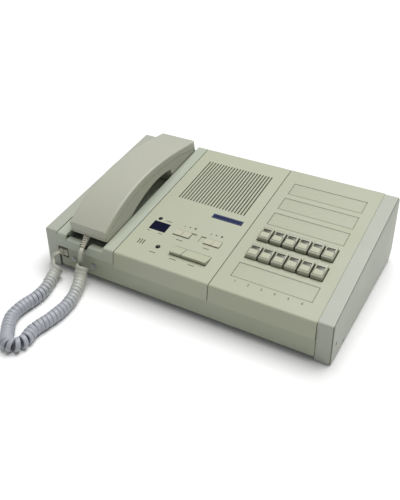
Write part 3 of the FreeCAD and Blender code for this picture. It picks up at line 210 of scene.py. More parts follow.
# Distance along the coil, extra pitch there, and how far that reaches.
PULLED_APART = ((0.1070, 0.0012, 0.003), (0.1265, 0.0020, 0.003), (0.1335, 0.0018, 0.003),
                (0.1395, 0.0006, 0.003), (0.152, -0.0012, 0.009), (0.1965, 0.0012, 0.003))


def wound(line, start_point, end_point):
    """Points of a cord wound round the line, and the way out from the line at each of them."""
    line, at = spaced_line(line, SAMPLE_GAP)
    tangent, across, third = carried_frames(line, start_point - line[0])
    pitch = np.interp(np.minimum(at, at[-1] - at), (HANGING, LYING), (HANGING_PITCH, PITCH))
    for place, extra, width in PULLED_APART:
        pitch = pitch + extra * np.exp(-((at - place) / width) ** 2)
    # How far round the cord has come at each point, scaled so that the last turn ends at end_point.
    turn = np.concatenate(([0], np.cumsum(2 * math.pi * np.diff(at) / ((pitch[1:] + pitch[:-1]) / 2))))
    last = end_point - line[-1]
    last_angle = math.atan2(-(last @ third[-1]), last @ across[-1])
    whole = round((turn[-1] - last_angle) / (2 * math.pi)) * 2 * math.pi + last_angle
    turn *= whole / turn[-1]
    angles = np.arange(0, whole, 2 * math.pi / POINTS_PER_TURN)
    place = np.interp(angles, turn, at)
    centre, u, w = [np.stack([np.interp(place, at, values[:, k]) for k in range(3)], axis=1)
                    for values in (line, across, third)]
    outward = unit(u * np.cos(angles)[:, None] - w * np.sin(angles)[:, None])
    turns = angles / (2 * math.pi)
    uneven = UNEVEN * np.random.default_rng(5).uniform(-1, 1, int(turns[-1]) + 2)
    # The smooth line cuts the corners between its points, so they stand a little outside RING_R.
    radius = RING_R / math.cos(math.pi / POINTS_PER_TURN) + np.interp(turns, np.arange(len(uneven)), uneven)
    return centre + radius[:, None] * outward, outward


lead_points = [Vector(p) * MM for p in LEAD_ROUTE]
base_points = [Vector(p) * MM for p in reversed(BASE_LEAD_ROUTE)]
helix_points, helix_facing = wound(coil_line, np.array(lead_points[-1]), np.array(base_points[0]))
wire_points = lead_points[:-1] + [Vector(p) for p in helix_points] + base_points[1:]
wire_facing = LEAD_FACING + [tuple(v) for v in helix_facing] + BASE_LEAD_FACING[::-1]
print("turns", round(len(helix_points) / POINTS_PER_TURN, 1), "wire points", len(wire_points))

# %% [markdown]
# One smooth line runs through all of those points, and a second one through the facing directions
# with the same spacing, so each point of the cord knows which way its flat side looks. The jacket's
# rounded section is then drawn from point to point. A curve with a bevel would be shorter to write, but
# it turns its section as it likes and can't stretch between the case and the handset when the handset
# is lifted. A mesh can.

# %% Cord: jacket
LINE_STEPS = 2                      # points that a curve draws between two points of the helix


def flat_section(width, thickness, fullness=4.0, count=16):
    """Outline of the jacket as (across, outward) pairs. A fullness of 2 is an ellipse, more is boxier."""
    outline = []
    for k in range(count):
        c, s = math.cos(2 * math.pi * (k + 0.5) / count), math.sin(2 * math.pi * (k + 0.5) / count)
        outline.append((width / 2 * math.copysign(abs(c) ** (2 / fullness), c),
                        thickness / 2 * math.copysign(abs(s) ** (2 / fullness), s)))
    return outline


def swept(name, line, facing, section):
    """Closed mesh with that section along the line, its outward side turned to facing."""
    tangent = unit(np.gradient(line, axis=0))
    outward = unit(facing - tangent * np.sum(facing * tangent, axis=1)[:, None])
    across = np.cross(tangent, outward)
    rings = np.array([line + across * x + outward * y for x, y in section])
    count, length = len(section), len(line)
    vertices = rings.transpose(1, 0, 2).reshape(-1, 3)
    faces = []
    for r in range(length - 1):
        here, there = r * count, (r + 1) * count
        for k in range(count):
            after = (k + 1) % count
            faces.append((here + k, here + after, there + after, there + k))
    faces += [tuple(range(count))[::-1], tuple(range((length - 1) * count, length * count))]
    mesh = bpy.data.meshes.new(name)
    mesh.from_pydata(vertices.tolist(), [], faces)
    mesh.validate()
    mesh.shade_smooth()
    piece = bpy.data.objects.new(name, mesh)
    scene.collection.objects.link(piece)
    return piece


wire_line = line_through(wire_points, LINE_STEPS)
facing_line = line_through(wire_facing, LINE_STEPS)
curly_cord = swept("curly_cord", wire_line, facing_line, flat_section(WIRE_W, WIRE_T))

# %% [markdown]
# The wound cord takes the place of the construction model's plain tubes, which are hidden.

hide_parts("handset_lead", "cord_coil", "base_lead")
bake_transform(curly_cord)

# %% [markdown]
# ## Colours and nodes
# Colours are written as sRGB hex values and turned to the linear values that Blender works in. Every
# material below is made of nodes instead of image files, so its pattern has a real size and covers any
# shape without seams. One helper adds a node: its settings, then its inputs, where an input is either a
# number or another node's output that it is linked to.

# %% Colour and node helpers
def linear(hex_colour):
    """Linear RGBA of an sRGB hex colour such as 'b6baa9'."""
    parts = [int(hex_colour[k:k + 2], 16) / 255 for k in (0, 2, 4)]
    return tuple(c / 12.92 if c <= 0.04045 else ((c + 0.055) / 1.055) ** 2.4 for c in parts) + (1.0,)


def add_node(material, kind, settings=None, **inputs):
    """New node with its settings. Inputs are constants or the outputs that they are linked to.

    An input is given by its name, or as _6 by its number where a name isn't enough.
    """
    tree = material.node_tree
    node = tree.nodes.new(kind)
    for setting, value in (settings or {}).items():
        setattr(node, setting, value)
    for socket, value in inputs.items():
        numbered = socket[1:].isdigit()
        target = node.inputs[int(socket[1:]) if numbered else socket.replace("_", " ")]
        if isinstance(value, bpy.types.NodeSocket):
            tree.links.new(value, target)
        else:
            target.default_value = value
    return node


def new_material(name):
    """Empty node material, its Principled shader, and the piece's own coordinates in metres."""
    material = bpy.data.materials.new(name)
    material.use_nodes = True
    shader = material.node_tree.nodes["Principled BSDF"]
    place = add_node(material, "ShaderNodeTexCoord").outputs["Object"]
    return material, shader, place


def link(material, source, target):
    """Lead a node's output to an input."""
    material.node_tree.links.new(source, target)


def per_mm(size_mm):
    """Noise scale for features about that wide, since the coordinates are metres."""
    return 1.0 / (size_mm * MM)


print("helpers ready:", linear("b6baa9")[:3])

# %% [markdown]
# ## Moulded ABS
# The case, handset and keys are injection-moulded ABS. Their tools were spark eroded, which leaves an
# even satin grain, and thirty years of daylight have yellowed the plastic a little unevenly. So the
# material is one colour with two faint tints over it, a broad one for ageing and a fine one for the
# grain, a bump for the grain, and a roughness that drifts where hands have polished it. The real grain
# is a few tenths of a millimetre wide. It is drawn 0.9 mm wide, so that it shows at all.
#
# Real mouldings have no knife edges. Rounding each edge of the meshes would take far more faces, so the
# bevel node rounds only what the light sees there. Shade is painted into the colour too: one occlusion
# node finds the narrow gaps and paints them darker, a second one paints shade into the deep hollows.

# %% ABS material
AGED_PATCH_MM, GRAIN_MM = 70, 0.9
DEEP_HOLLOW_MM = 14


def moulded_abs(name, colour, aged, gap_shade, roughness=0.5, gap_shade_mm=1.1, edge_mm=0.45, hollow=0.3):
    """Satin ABS, with painted shade: its narrow gaps turn to the gap colour, its deep hollows dim to hollow.
    """
    material, shader, place = new_material(name)
    broad = add_node(material, "ShaderNodeTexNoise", Vector=place, Scale=per_mm(AGED_PATCH_MM), Detail=3.0,
                     Roughness=0.6)
    fine = add_node(material, "ShaderNodeTexNoise", Vector=place, Scale=per_mm(GRAIN_MM), Detail=4.0,
                    Roughness=0.65)
    age = add_node(material, "ShaderNodeMapRange", Value=broad.outputs["Fac"], From_Min=0.35, From_Max=0.72)
    tint = add_node(material, "ShaderNodeMix", {"data_type": "RGBA"}, _0=age.outputs["Result"],
                    _6=linear(colour), _7=linear(aged))
    speck = add_node(material, "ShaderNodeMapRange", Value=fine.outputs["Fac"], From_Min=0.3, From_Max=0.7,
                     To_Min=0.965, To_Max=1.03)
    grained = add_node(material, "ShaderNodeVectorMath", {"operation": "SCALE"}, _0=tint.outputs[2],
                       Scale=speck.outputs["Result"])
    # Painted shade: where this occlusion finds a narrow gap, the colour turns to the gap colour.
    near = add_node(material, "ShaderNodeAmbientOcclusion", {"samples": 6}, Distance=gap_shade_mm * MM)
    open_part = add_node(material, "ShaderNodeMapRange", Value=near.outputs["AO"], From_Min=0.25,
                         From_Max=0.85)
    gap_shaded = add_node(material, "ShaderNodeMix", {"data_type": "RGBA"}, _0=open_part.outputs["Result"],
                     _6=linear(gap_shade), _7=grained.outputs["Vector"])
    # Painted shade: the deep hollows that this occlusion finds are dimmed, down to hollow times the colour.
    deep = add_node(material, "ShaderNodeAmbientOcclusion", {"samples": 6}, Distance=DEEP_HOLLOW_MM * MM)
    shade = add_node(material, "ShaderNodeMapRange", Value=deep.outputs["AO"], From_Min=0.08, From_Max=0.4,
                     To_Min=hollow)
    shaded = add_node(material, "ShaderNodeVectorMath", {"operation": "SCALE"}, _0=gap_shaded.outputs[2],
                      Scale=shade.outputs["Result"])
    link(material, shaded.outputs["Vector"], shader.inputs["Base Color"])
    polish = add_node(material, "ShaderNodeMapRange", Value=broad.outputs["Fac"], From_Min=0.3, From_Max=0.7,
                      To_Min=roughness - 0.05, To_Max=roughness + 0.05)
    link(material, polish.outputs["Result"], shader.inputs["Roughness"])
    soft_edge = add_node(material, "ShaderNodeBevel", {"samples": 6}, Radius=edge_mm * MM)
    grain = add_node(material, "ShaderNodeBump", Height=fine.outputs["Fac"], Strength=0.5,
                     Distance=0.02 * MM, Normal=soft_edge.outputs["Normal"])
    link(material, grain.outputs["Normal"], shader.inputs["Normal"])
    shader.inputs["IOR"].default_value = 1.54
    return material


print("grain drawn", GRAIN_MM, "mm wide, aged patches", AGED_PATCH_MM, "mm")

# %% [markdown]
# The mouldings come from different tools and batches and have seen more or less daylight, so no two
# of them have quite the same shade. Each gets its colour, the colour that it has aged to and the colour
# of the painted shade in its gaps. The parts that fingers rub, the handset, bars, slides and keys, are
# smoother, and the small ones have finer edges. The line between the tops and the base is a wide one,
# so the painted shade reaches further out on the base, as the shadow under the tops' edge. The grille's
# slots are dark by themselves, so its material paints no shade into its gaps or hollows.

# %% Shades of the mouldings
# The last colour of each is the painted shade of its narrow gaps.
case_abs = moulded_abs("case_abs", "a9ad98", "acae95", "55574c")
grille_abs = moulded_abs("grille_abs", "a9ad98", "acae95", "a3a691", hollow=1.0)
bar_abs = moulded_abs("bar_abs", "abaf98", "adaf96", "4b4c42", roughness=0.42, edge_mm=0.3)
base_abs = moulded_abs("base_abs", "9ea491", "9da28c", "2c2d26", roughness=0.55, gap_shade_mm=2.2)
cap_abs = moulded_abs("cap_abs", "a6aa9c", "a4a79a", "55574c")
key_panel_abs = moulded_abs("key_panel_abs", "a6aa95", "a9ab92", "55574c")
cradle_abs = moulded_abs("cradle_abs", "a8afa0", "a9ae9b", "4c4e4a")
handset_abs = moulded_abs("handset_abs", "abada0", "aeae9c", "55574c", roughness=0.42)
control_abs = moulded_abs("control_abs", "b1b19c", "b3b199", "5a5b4f", roughness=0.4, edge_mm=0.3)
key_abs = moulded_abs("key_abs", "9c9f8c", "a09f88", "34352d", roughness=0.3, edge_mm=0.3)
inner_abs = moulded_abs("inner_abs", "8c8e82", "92917f", "2c2c29", roughness=0.55)
print("ABS materials:", [m.name for m in bpy.data.materials if m.name.endswith("_abs")])

# %% [markdown]
# ## Flexible PVC
# The curly cord's jacket and its strain reliefs are flexible PVC, glossier and softer looking than
# ABS, with worn patches and a slightly dimpled skin. Near the case the cord has yellowed. Two materials
# would meet in a hard line there, so one material turns from one colour to the other along Y.

# %% Flexible PVC
GREY_UP_TO_Y, YELLOWED_FROM_Y = -0.175, -0.12
WORN_PATCH_MM, DIMPLE_MM = 18, 0.8


def flexible_pvc(name, colour, worn, roughness, yellowed=None):
    """Soft PVC. Where yellowed is given, the stretch near the case has turned to that colour."""
    material, shader, place = new_material(name)
    patches = add_node(material, "ShaderNodeTexNoise", Vector=place, Scale=per_mm(WORN_PATCH_MM),
                       Detail=3.0)
    rub = add_node(material, "ShaderNodeMapRange", Value=patches.outputs["Fac"], From_Min=0.4, From_Max=0.7)
    tint = add_node(material, "ShaderNodeMix", {"data_type": "RGBA"}, _0=rub.outputs["Result"],
                    _6=linear(colour), _7=linear(worn))
    if yellowed:
        apart = add_node(material, "ShaderNodeSeparateXYZ", Vector=place)
        old = add_node(material, "ShaderNodeMapRange", Value=apart.outputs["Y"],
                       From_Min=GREY_UP_TO_Y, From_Max=YELLOWED_FROM_Y)
        tint = add_node(material, "ShaderNodeMix", {"data_type": "RGBA"}, _0=old.outputs["Result"],
                        _6=tint.outputs[2], _7=linear(yellowed))
    link(material, tint.outputs[2], shader.inputs["Base Color"])
    drift = add_node(material, "ShaderNodeMapRange", Value=patches.outputs["Fac"], From_Min=0.3, From_Max=0.7,
                     To_Min=roughness - 0.06, To_Max=roughness + 0.06)
    link(material, drift.outputs["Result"], shader.inputs["Roughness"])
    skin = add_node(material, "ShaderNodeTexNoise", Vector=place, Scale=per_mm(DIMPLE_MM), Detail=2.0)
    dimple = add_node(material, "ShaderNodeBump", Height=skin.outputs["Fac"], Strength=0.3,
                      Distance=0.01 * MM)
    link(material, dimple.outputs["Normal"], shader.inputs["Normal"])
    shader.inputs["IOR"].default_value = 1.53
    return material


cord_pvc = flexible_pvc("cord_pvc", "a0a3a9", "989ba2", 0.48, "b3b4a4")
boot_pvc = flexible_pvc("boot_pvc", "bebcaa", "b4b29f", 0.42)
print("PVC:", cord_pvc.name, boot_pvc.name)

# %% [markdown]
# ## Covers, cards and windows
# The label covers are clear polycarbonate over blank card. Glass that bends the light would cost many
# bounces for a sheet half a millimetre thick, so the cover is simply part transparent, with the satin
# reflection of a sheet that is often wiped. The display and the lamp windows are tinted acrylic, dark,
# smooth and shiny. Nothing shows behind them, so they are opaque. The name plate has the same smooth
# gloss, in enamel. Card is matt, and its fibres are drawn 0.6 mm long, so that they show at all.

# %% Clear polycarbonate, acrylic, enamel and card
HANDLING_MM, CLOUD_MM, FIBRE_MM = 12, 3.5, 0.6


def clear_cover(name, colour):
    """Thin clear sheet: mostly see-through, with a faint satin reflection."""
    material, shader, place = new_material(name)
    handling = add_node(material, "ShaderNodeTexNoise", Vector=place, Scale=per_mm(HANDLING_MM),
                        Detail=5.0)
    haze = add_node(material, "ShaderNodeMapRange", Value=handling.outputs["Fac"], To_Min=0.24,
                    To_Max=0.38)
    link(material, haze.outputs["Result"], shader.inputs["Roughness"])
    shader.inputs["Base Color"].default_value = linear(colour)
    shader.inputs["Alpha"].default_value = 0.35
    shader.inputs["IOR"].default_value = 1.585
    return material


def tinted_gloss(name, colour, cloud, roughness, gloss):
    """Dark smooth acrylic or enamel, faintly clouded. Less gloss is an anti-glare finish."""
    material, shader, place = new_material(name)
    cloudy = add_node(material, "ShaderNodeTexNoise", Vector=place, Scale=per_mm(CLOUD_MM), Detail=3.0)
    tint = add_node(material, "ShaderNodeMix", {"data_type": "RGBA"}, _0=cloudy.outputs["Fac"],
                    _6=linear(colour), _7=linear(cloud))
    link(material, tint.outputs[2], shader.inputs["Base Color"])
    smear = add_node(material, "ShaderNodeMapRange", Value=cloudy.outputs["Fac"],
                     To_Min=roughness * 0.7, To_Max=roughness * 1.4)
    link(material, smear.outputs["Result"], shader.inputs["Roughness"])
    shader.inputs["IOR"].default_value = 1.49
    shader.inputs["Specular IOR Level"].default_value = gloss
    return material


def pressed_card(name, colour, fibre_colour):
    """Blank card or the felted paper of a loudspeaker's cone: matt, with fibres along X."""
    material, shader, place = new_material(name)
    stretched = add_node(material, "ShaderNodeMapping", Vector=place, Scale=(1.0, 3.0, 3.0))
    fibres = add_node(material, "ShaderNodeTexNoise", Vector=stretched.outputs["Vector"],
                      Scale=per_mm(FIBRE_MM), Detail=4.0)
    tint = add_node(material, "ShaderNodeMix", {"data_type": "RGBA"}, _0=fibres.outputs["Fac"],
                    _6=linear(colour), _7=linear(fibre_colour))
    link(material, tint.outputs[2], shader.inputs["Base Color"])
    shader.inputs["Roughness"].default_value = 0.85
    return material


label_cover = clear_cover("clear_polycarbonate", "c2c4af")
label_card = pressed_card("label_card", "cacdb7", "c3c6af")
pad_card = pressed_card("key_label_card", "b9baa5", "b1b29b")
cone_paper = pressed_card("cone_paper", "1b1b1c", "2a2928")
display_acrylic = tinted_gloss("display_acrylic", "080d22", "0c122a", 0.2, 0.12)
window_acrylic = tinted_gloss("key_window_acrylic", "4c4d41", "525346", 0.25, 0.5)
lamp_acrylic = tinted_gloss("lamp_acrylic", "17131a", "241c22", 0.22, 0.5)
blue_enamel = tinted_gloss("blue_enamel", "18224c", "131c40", 0.25, 0.3)
print("sheets and windows ready")

# %% [markdown]
# ## Nylon, rubber, ferrite, lacquer and ink
# Plugs, switches and other hidden mouldings are black nylon, and the feet are rubber. The loudspeaker's
# magnet is grey sintered ferrite. Its basket and the microphone's can are steel under black lacquer,
# so that they don't shine through their slots. The boards are glass-fibre laminate under a green
# lacquer, and the marks on the panels are printed in a matt ink. All of them are solid colours that
# differ in sheen and in how coarse their grain is, so one function with those values makes them all.

# %% Grained solids
def grained_solid(name, colour, pale, roughness, grain_mm, ior):
    """Opaque material with a fine grain in its colour and its surface."""
    material, shader, place = new_material(name)
    grain = add_node(material, "ShaderNodeTexNoise", Vector=place, Scale=per_mm(grain_mm), Detail=3.0)
    tint = add_node(material, "ShaderNodeMix", {"data_type": "RGBA"}, _0=grain.outputs["Fac"],
                    _6=linear(colour), _7=linear(pale))
    link(material, tint.outputs[2], shader.inputs["Base Color"])
    shader.inputs["Roughness"].default_value = roughness
    bump = add_node(material, "ShaderNodeBump", Height=grain.outputs["Fac"], Strength=0.4,
                    Distance=0.02 * MM)
    link(material, bump.outputs["Normal"], shader.inputs["Normal"])
    shader.inputs["IOR"].default_value = ior
    return material


black_nylon = grained_solid("black_nylon", "17181a", "232427", 0.45, 0.9, 1.53)
foot_rubber = grained_solid("foot_rubber", "141414", "222120", 0.85, 1.2, 1.52)
ferrite = grained_solid("sintered_ferrite", "2a2a2c", "3a3a3c", 0.6, 1.5, 1.6)
printing_ink = grained_solid("printing_ink", "34352e", "3f4038", 0.7, 0.4, 1.5)
pale_ink = grained_solid("pale_ink", "55618a", "4d5980", 0.6, 0.4, 1.5)
board_lacquer = grained_solid("board_lacquer", "23472b", "2c5634", 0.3, 2.5, 1.55)
black_lacquer = grained_solid("black_lacquer", "19191a", "222223", 0.45, 3.0, 1.5)
print("dark materials ready")

# %% [markdown]
# ## Metals
# The screws are zinc-plated steel and the handset's capsules are pressed steel. A metal shows only
# what it reflects, tinted by its base colour. Faint stains in the plating change that tint and the
# roughness together, which keeps it from looking like chrome.

# %% Metals
def plated_steel(name, colour, stain, roughness, grain_mm):
    """Metal with faint stains in its plating."""
    material, shader, place = new_material(name)
    blotch = add_node(material, "ShaderNodeTexNoise", Vector=place, Scale=per_mm(grain_mm), Detail=5.0)
    tint = add_node(material, "ShaderNodeMix", {"data_type": "RGBA"}, _0=blotch.outputs["Fac"],
                    _6=linear(colour), _7=linear(stain))
    link(material, tint.outputs[2], shader.inputs["Base Color"])
    wear = add_node(material, "ShaderNodeMapRange", Value=blotch.outputs["Fac"],
                    To_Min=roughness - 0.08, To_Max=roughness + 0.1)
    link(material, wear.outputs["Result"], shader.inputs["Roughness"])
    shader.inputs["Metallic"].default_value = 1.0
    return material


pressed_steel = plated_steel("pressed_steel", "b9b9b4", "a8a8a3", 0.35, 6.0)
zinc_plate = plated_steel("zinc_plate", "d3d7dc", "bcc2ca", 0.3, 1.0)
print("metals ready")

# %% [markdown]
# ## Dress the pieces of the construction model
# The record puts each piece in a slot, which is a kind of material, and each slot has one material
# here. Some pieces of a slot have a shade or a finish of their own, and get it afterwards.

# %% Materials by slot
BY_SLOT = {
    "case_plastic": case_abs, "handset_plastic": handset_abs, "key_plastic": key_abs,
    "clear_plastic": label_cover, "label_paper": label_card, "name_plate": blue_enamel,
    "display_window": display_acrylic, "lamp_lens": lamp_acrylic, "steel": pressed_steel,
    "screw_steel": zinc_plate, "cone_paper": cone_paper, "magnet_ferrite": ferrite,
    "black_plastic": black_nylon, "circuit_board": board_lacquer, "inner_plastic": inner_abs,
    "plug_plastic": boot_pvc, "cord_pvc": cord_pvc, "foot_rubber": foot_rubber,
}


def dress(piece, material):
    """Give the piece that one material."""
    piece.data.materials.clear()
    piece.data.materials.append(material)


for part in frame["record"]["subparts"]:
    dress(nodes[part["node"]], BY_SLOT[part["material_slot"]])
dress(curly_cord, cord_pvc)

# %% Pieces with a finish of their own
OWN_FINISH = {
    "slider_left": control_abs, "slider_right": control_abs, "narrow_press_bar": bar_abs,
    "wide_press_bar": bar_abs, "left_end_cap": cap_abs, "right_end_cap": cap_abs, "base_case": base_abs,
    "cradle_housing": cradle_abs, "key_panel": key_panel_abs, "speaker_panel": grille_abs,
    "slide_controls": inner_abs, "speaker_basket": black_lacquer, "microphone": black_lacquer,
}
for name, material in OWN_FINISH.items():
    dress(nodes[name], material)
print("own finish on", len(OWN_FINISH), "nodes")

# %% [markdown]
# ## Small pieces on the sloping top
# Labels, windows, ribs and printed marks are flat things with rounded corners. One function draws a
# rounded rectangle in a local frame, raises it and bevels its upper edge, and another places it on
# the slope. A bevel modifier would do the same, but building the small mesh at once leaves nothing to
# evaluate later. Their places come from the pieces that carry them, measured along the slope.

# %% Measuring and placing on the slope
def slope_box(node):
    """Lowest and highest (x, v, h) of a node, in millimetres in the slope's frame."""
    away = np.array([v.co for v in nodes[node].data.vertices]) / MM - np.array((0, FRONT_Y, FRONT_Z))
    local = away @ np.array([(1, 0, 0), UP_SLOPE, NORMAL]).T
    return Vector(local.min(axis=0)), Vector(local.max(axis=0))


def rounded_outline(width, length, radius, steps=4):
    """Corner points of a rounded rectangle about the origin, anticlockwise."""
    points = []
    for corner, (sx, sy) in enumerate(((1, 1), (-1, 1), (-1, -1), (1, -1))):
        for k in range(steps + 1):
            angle = math.pi / 2 * (corner + k / steps)
            points.append((sx * (width / 2 - radius) + radius * math.cos(angle),
                           sy * (length / 2 - radius) + radius * math.sin(angle)))
    return points


SHARP_FROM = math.radians(35)


def pad_mesh(name, outline, height, bevel):
    """Closed pad with that outline from z = 0 up to height, its upper edge bevelled. Millimetres."""
    shape = bmesh.new()
    low = [shape.verts.new((x, y, 0)) for x, y in outline]
    face = shape.faces.new(low)
    raised = bmesh.ops.extrude_face_region(shape, geom=[face])
    top = [g for g in raised["geom"] if isinstance(g, bmesh.types.BMVert)]
    bmesh.ops.translate(shape, vec=(0, 0, height), verts=top)
    if bevel:
        rim = [e for e in shape.edges if all(abs(v.co.z - height) < 1e-6 for v in e.verts)]
        bmesh.ops.bevel(shape, geom=rim, offset=bevel, segments=2, profile=0.6, affect="EDGES")
    bmesh.ops.recalc_face_normals(shape, faces=shape.faces)
    mesh = bpy.data.meshes.new(name)
    shape.to_mesh(mesh)
    shape.free()
    mesh.shade_smooth()
    mesh.set_sharp_from_angle(angle=SHARP_FROM)
    return mesh


def place_on_top(name, mesh, x, v, h, material, body, tilt=0.0):
    """New piece at that place of the slope, tipped by tilt about its own x."""
    turn = TOP_TURN @ Matrix.Rotation(tilt, 4, "X") @ Matrix.Scale(MM, 4)
    mesh.transform(Matrix.Translation(on_top(x, v, h)) @ turn)
    piece = bpy.data.objects.new(name, mesh)
    scene.collection.objects.link(piece)
    dress(piece, material)
    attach(piece, body)


print("key 1 spans", [tuple(round(c, 1) for c in p) for p in slope_box("station_key_1")])

# %% [markdown]
# ## Keys
# Each key is a box of grey ABS with a rounded front. A square of cream card fills most of its top and
# stands just proud of its pocket. Behind the card lies a lamp window of smoked acrylic, sunk in its
# own pocket, so that it reads as a dark band. Painting both on the key would be simpler, but only
# pieces with a thickness catch light and shadow at their edges. They ride on their key.

# %% Key labels and windows
KEYS, KEYS_PER_ROW = 12, 6
KEY_FLANGE, KEY_H = 1.4, 5.0        # the flange that holds a key down, and the height of the key's top
CORNER_R, EDGE_R = 0.5, 0.22
# Name, width, length, middle behind the key's front, depth of its foot, thickness, material, slot.
KEY_PIECES = (("label", 10.8, 7.9, 6.9, 0.45, 0.7, pad_card, "label_paper"),
              ("window", 9.0, 4.0, 14.1, 1.55, 1.0, window_acrylic, "lamp_lens"))
for number in range(1, KEYS + 1):
    key = "station_key_%d" % number
    low, high = slope_box(key)
    middle, front = (low.x + high.x) / 2, low.y + KEY_FLANGE
    for piece, width, length, along, sunk, thick, material, slot in KEY_PIECES:
        name = "%s_%s" % (key, piece)
        pad = pad_mesh(name, rounded_outline(width, length, CORNER_R), thick, EDGE_R)
        place_on_top(name, pad, middle, front + along, KEY_H - sunk, material, key)
print("labels and windows on", KEYS, "keys")

# %% [markdown]
# ## Finger ribs
# Each slide cap carries one rib across its middle, which the finger pushes against. The cap's top falls
# a little to the rear, and the rib is tipped by the same angle, so that it stands out evenly.

# %% Slide ribs
RIB_W, RIB_L, RIB_H, RIB_EDGE_R = 1.2, 7.4, 0.55, 0.25
RIB_FOOT_H = 0.75                   # a little inside the cap
CAP_FALL = 1.1                      # from the front of the cap's top to its rear
for slider in ("slider_left", "slider_right"):
    low, high = slope_box(slider)
    rib = pad_mesh(slider + "_rib", rounded_outline(RIB_W, RIB_L, 0.55), RIB_H, RIB_EDGE_R)
    tip = math.atan2(-CAP_FALL, high.y - low.y)
    place_on_top(slider + "_rib", rib, (low.x + high.x) / 2, (low.y + high.y) / 2, RIB_FOOT_H, control_abs,
                 slider, tip)
print("ribs on both slides")

# %% [markdown]
# ## Printing
# Dark ink is printed on the panels: the numbers 1 to 6 under the front strip, one below each column of
# keys, a short plain bar beside each lamp and control, and over each slide a growing row of a stroke
# and two dots. A texture would need an image or a mask for each mark, and would blur when seen from
# near. A thin flat piece has a crisp edge at any distance. It is drawn thicker than real ink, a
# twentieth of a millimetre, so that it never flickers with the panel under it.

# %% Numbers under the keys
INK = 0.05
FIGURE_H, FIGURE_V = 3.5, 17.5
FIGURE_SHARE = 0.7                  # height of a figure, as a share of the built-in font's size


def printed(name, outline, x, v, material=printing_ink, h=0.0):
    """A flat mark with that outline on the case."""
    place_on_top(name, pad_mesh(name, outline, INK, 0), x, v, h, material, "case")


def printed_number(name, text, height, x, v):
    """A number in the built-in font, as a thin flat piece."""
    data = bpy.data.curves.new(name, "FONT")
    data.body = text
    data.size = height / FIGURE_SHARE
    data.align_x = "CENTER"
    data.align_y = "CENTER"
    data.extrude = INK / 2
    writing = bpy.data.objects.new(name, data)
    scene.collection.objects.link(writing)
    bpy.context.view_layer.update()
    mesh = bpy.data.meshes.new_from_object(writing.evaluated_get(bpy.context.evaluated_depsgraph_get()))
    bpy.data.objects.remove(writing)
    bpy.data.curves.remove(data)
    place_on_top(name, mesh, x, v, INK / 2, printing_ink, "case")


for number in range(1, KEYS_PER_ROW + 1):
    low, high = slope_box("station_key_%d" % (KEYS_PER_ROW + number))
    printed_number("number_%d" % number, str(number), FIGURE_H, (low.x + high.x) / 2, FIGURE_V)
print("numbers 1 to", KEYS_PER_ROW, "printed")

# %% Bars and level rows
BAR_L, BAR_END_R = 0.9, 0.4
# Place of each plain bar as x and v, and its width.
LEGEND_BARS = ((-52.3, 72.0, 9.4), (-67.5, 49.3, 4.0), (-50.7, 49.0, 6.2), (-23.3, 48.5, 9.0),
               (12.6, 48.5, 8.4), (-42.2, 18.8, 8.4), (-13.8, 18.2, 8.8), (10.6, 18.2, 8.0))
# Each row starts at its stroke. Name, width, length, corner radius, steps, x from the stroke, and v.
ROW_STARTS = (("left", -29.6), ("right", 6.4))
ROW_MARKS = (("stroke_", 0.7, 3.4, 0.3, 4, 0.0, 72.6), ("dot_small_", 2.0, 2.0, 0.99, 8, 6.8, 73.1),
             ("dot_large_", 2.9, 2.9, 1.44, 10, 14.0, 73.5))
for count, (x, v, width) in enumerate(LEGEND_BARS, 1):
    printed("legend_bar_%d" % count, rounded_outline(width, BAR_L, BAR_END_R), x, v)
for side, start in ROW_STARTS:
    for mark, width, length, radius, steps, along, v in ROW_MARKS:
        printed(mark + side, rounded_outline(width, length, radius, steps), start + along, v)
print(len(LEGEND_BARS), "bars and", len(ROW_STARTS), "rows printed")

# %% [markdown]
# The name plate is bare but for a fine pale line round its edge: four thin strokes that meet at the
# corners and don't lie on each other.

# %% Edge line of the name plate
LINE_W, LINE_END_R = 0.35, 0.1
SHORTER_X, SHORTER_V = 1.4, 2.1     # how much shorter than the plate the strokes are
INSET_X, INSET_V = 0.88, 0.85       # middle of a stroke from the plate's edge
low, high = slope_box("name_plate")
width, length = high.x - low.x, high.y - low.y
middle_x, middle_v = (low.x + high.x) / 2, (low.y + high.y) / 2
edge_strokes = ((width - SHORTER_X, LINE_W, 0, length / 2 - INSET_V),
                (width - SHORTER_X, LINE_W, 0, INSET_V - length / 2),
                (LINE_W, length - SHORTER_V, width / 2 - INSET_X, 0),
                (LINE_W, length - SHORTER_V, INSET_X - width / 2, 0))
for count, (stroke_w, stroke_l, dx, dv) in enumerate(edge_strokes, 1):
    printed("plate_line_%d" % count, rounded_outline(stroke_w, stroke_l, LINE_END_R, 2),
            middle_x + dx, middle_v + dv, pale_ink, high.z)
print("plate", round(width, 1), "x", round(length, 1), "mm, top at", round(high.z, 2))

# %% [markdown]
# ## Front screws
# Two zinc-plated screws hold the base's front wall, with a cross recess in each head. A dark cross laid
# on the head would look flat from the side, so the recess is really cut: a boolean takes a cross that
# faces forward out of a copy of the construction model's screws, and the result takes their place.

# %% Cross recesses
RECESS_HALF, RECESS_ARM, RECESS_DEPTH = 1.7, 0.45, 0.9
ON_FACE = 0.01                      # vertices this close to the foremost one lie on the heads' faces
FORWARD = Matrix.Rotation(math.pi / 2, 4, "X")


def cross_outline(reach, arm):
    """Corner points of a plus sign, anticlockwise."""
    points = []
    for quarter in range(4):
        c, s = math.cos(quarter * math.pi / 2), math.sin(quarter * math.pi / 2)
        for x, y in ((reach, -arm), (reach, arm), (arm, arm)):
            points.append((x * c - y * s, x * s + y * c))
    return points


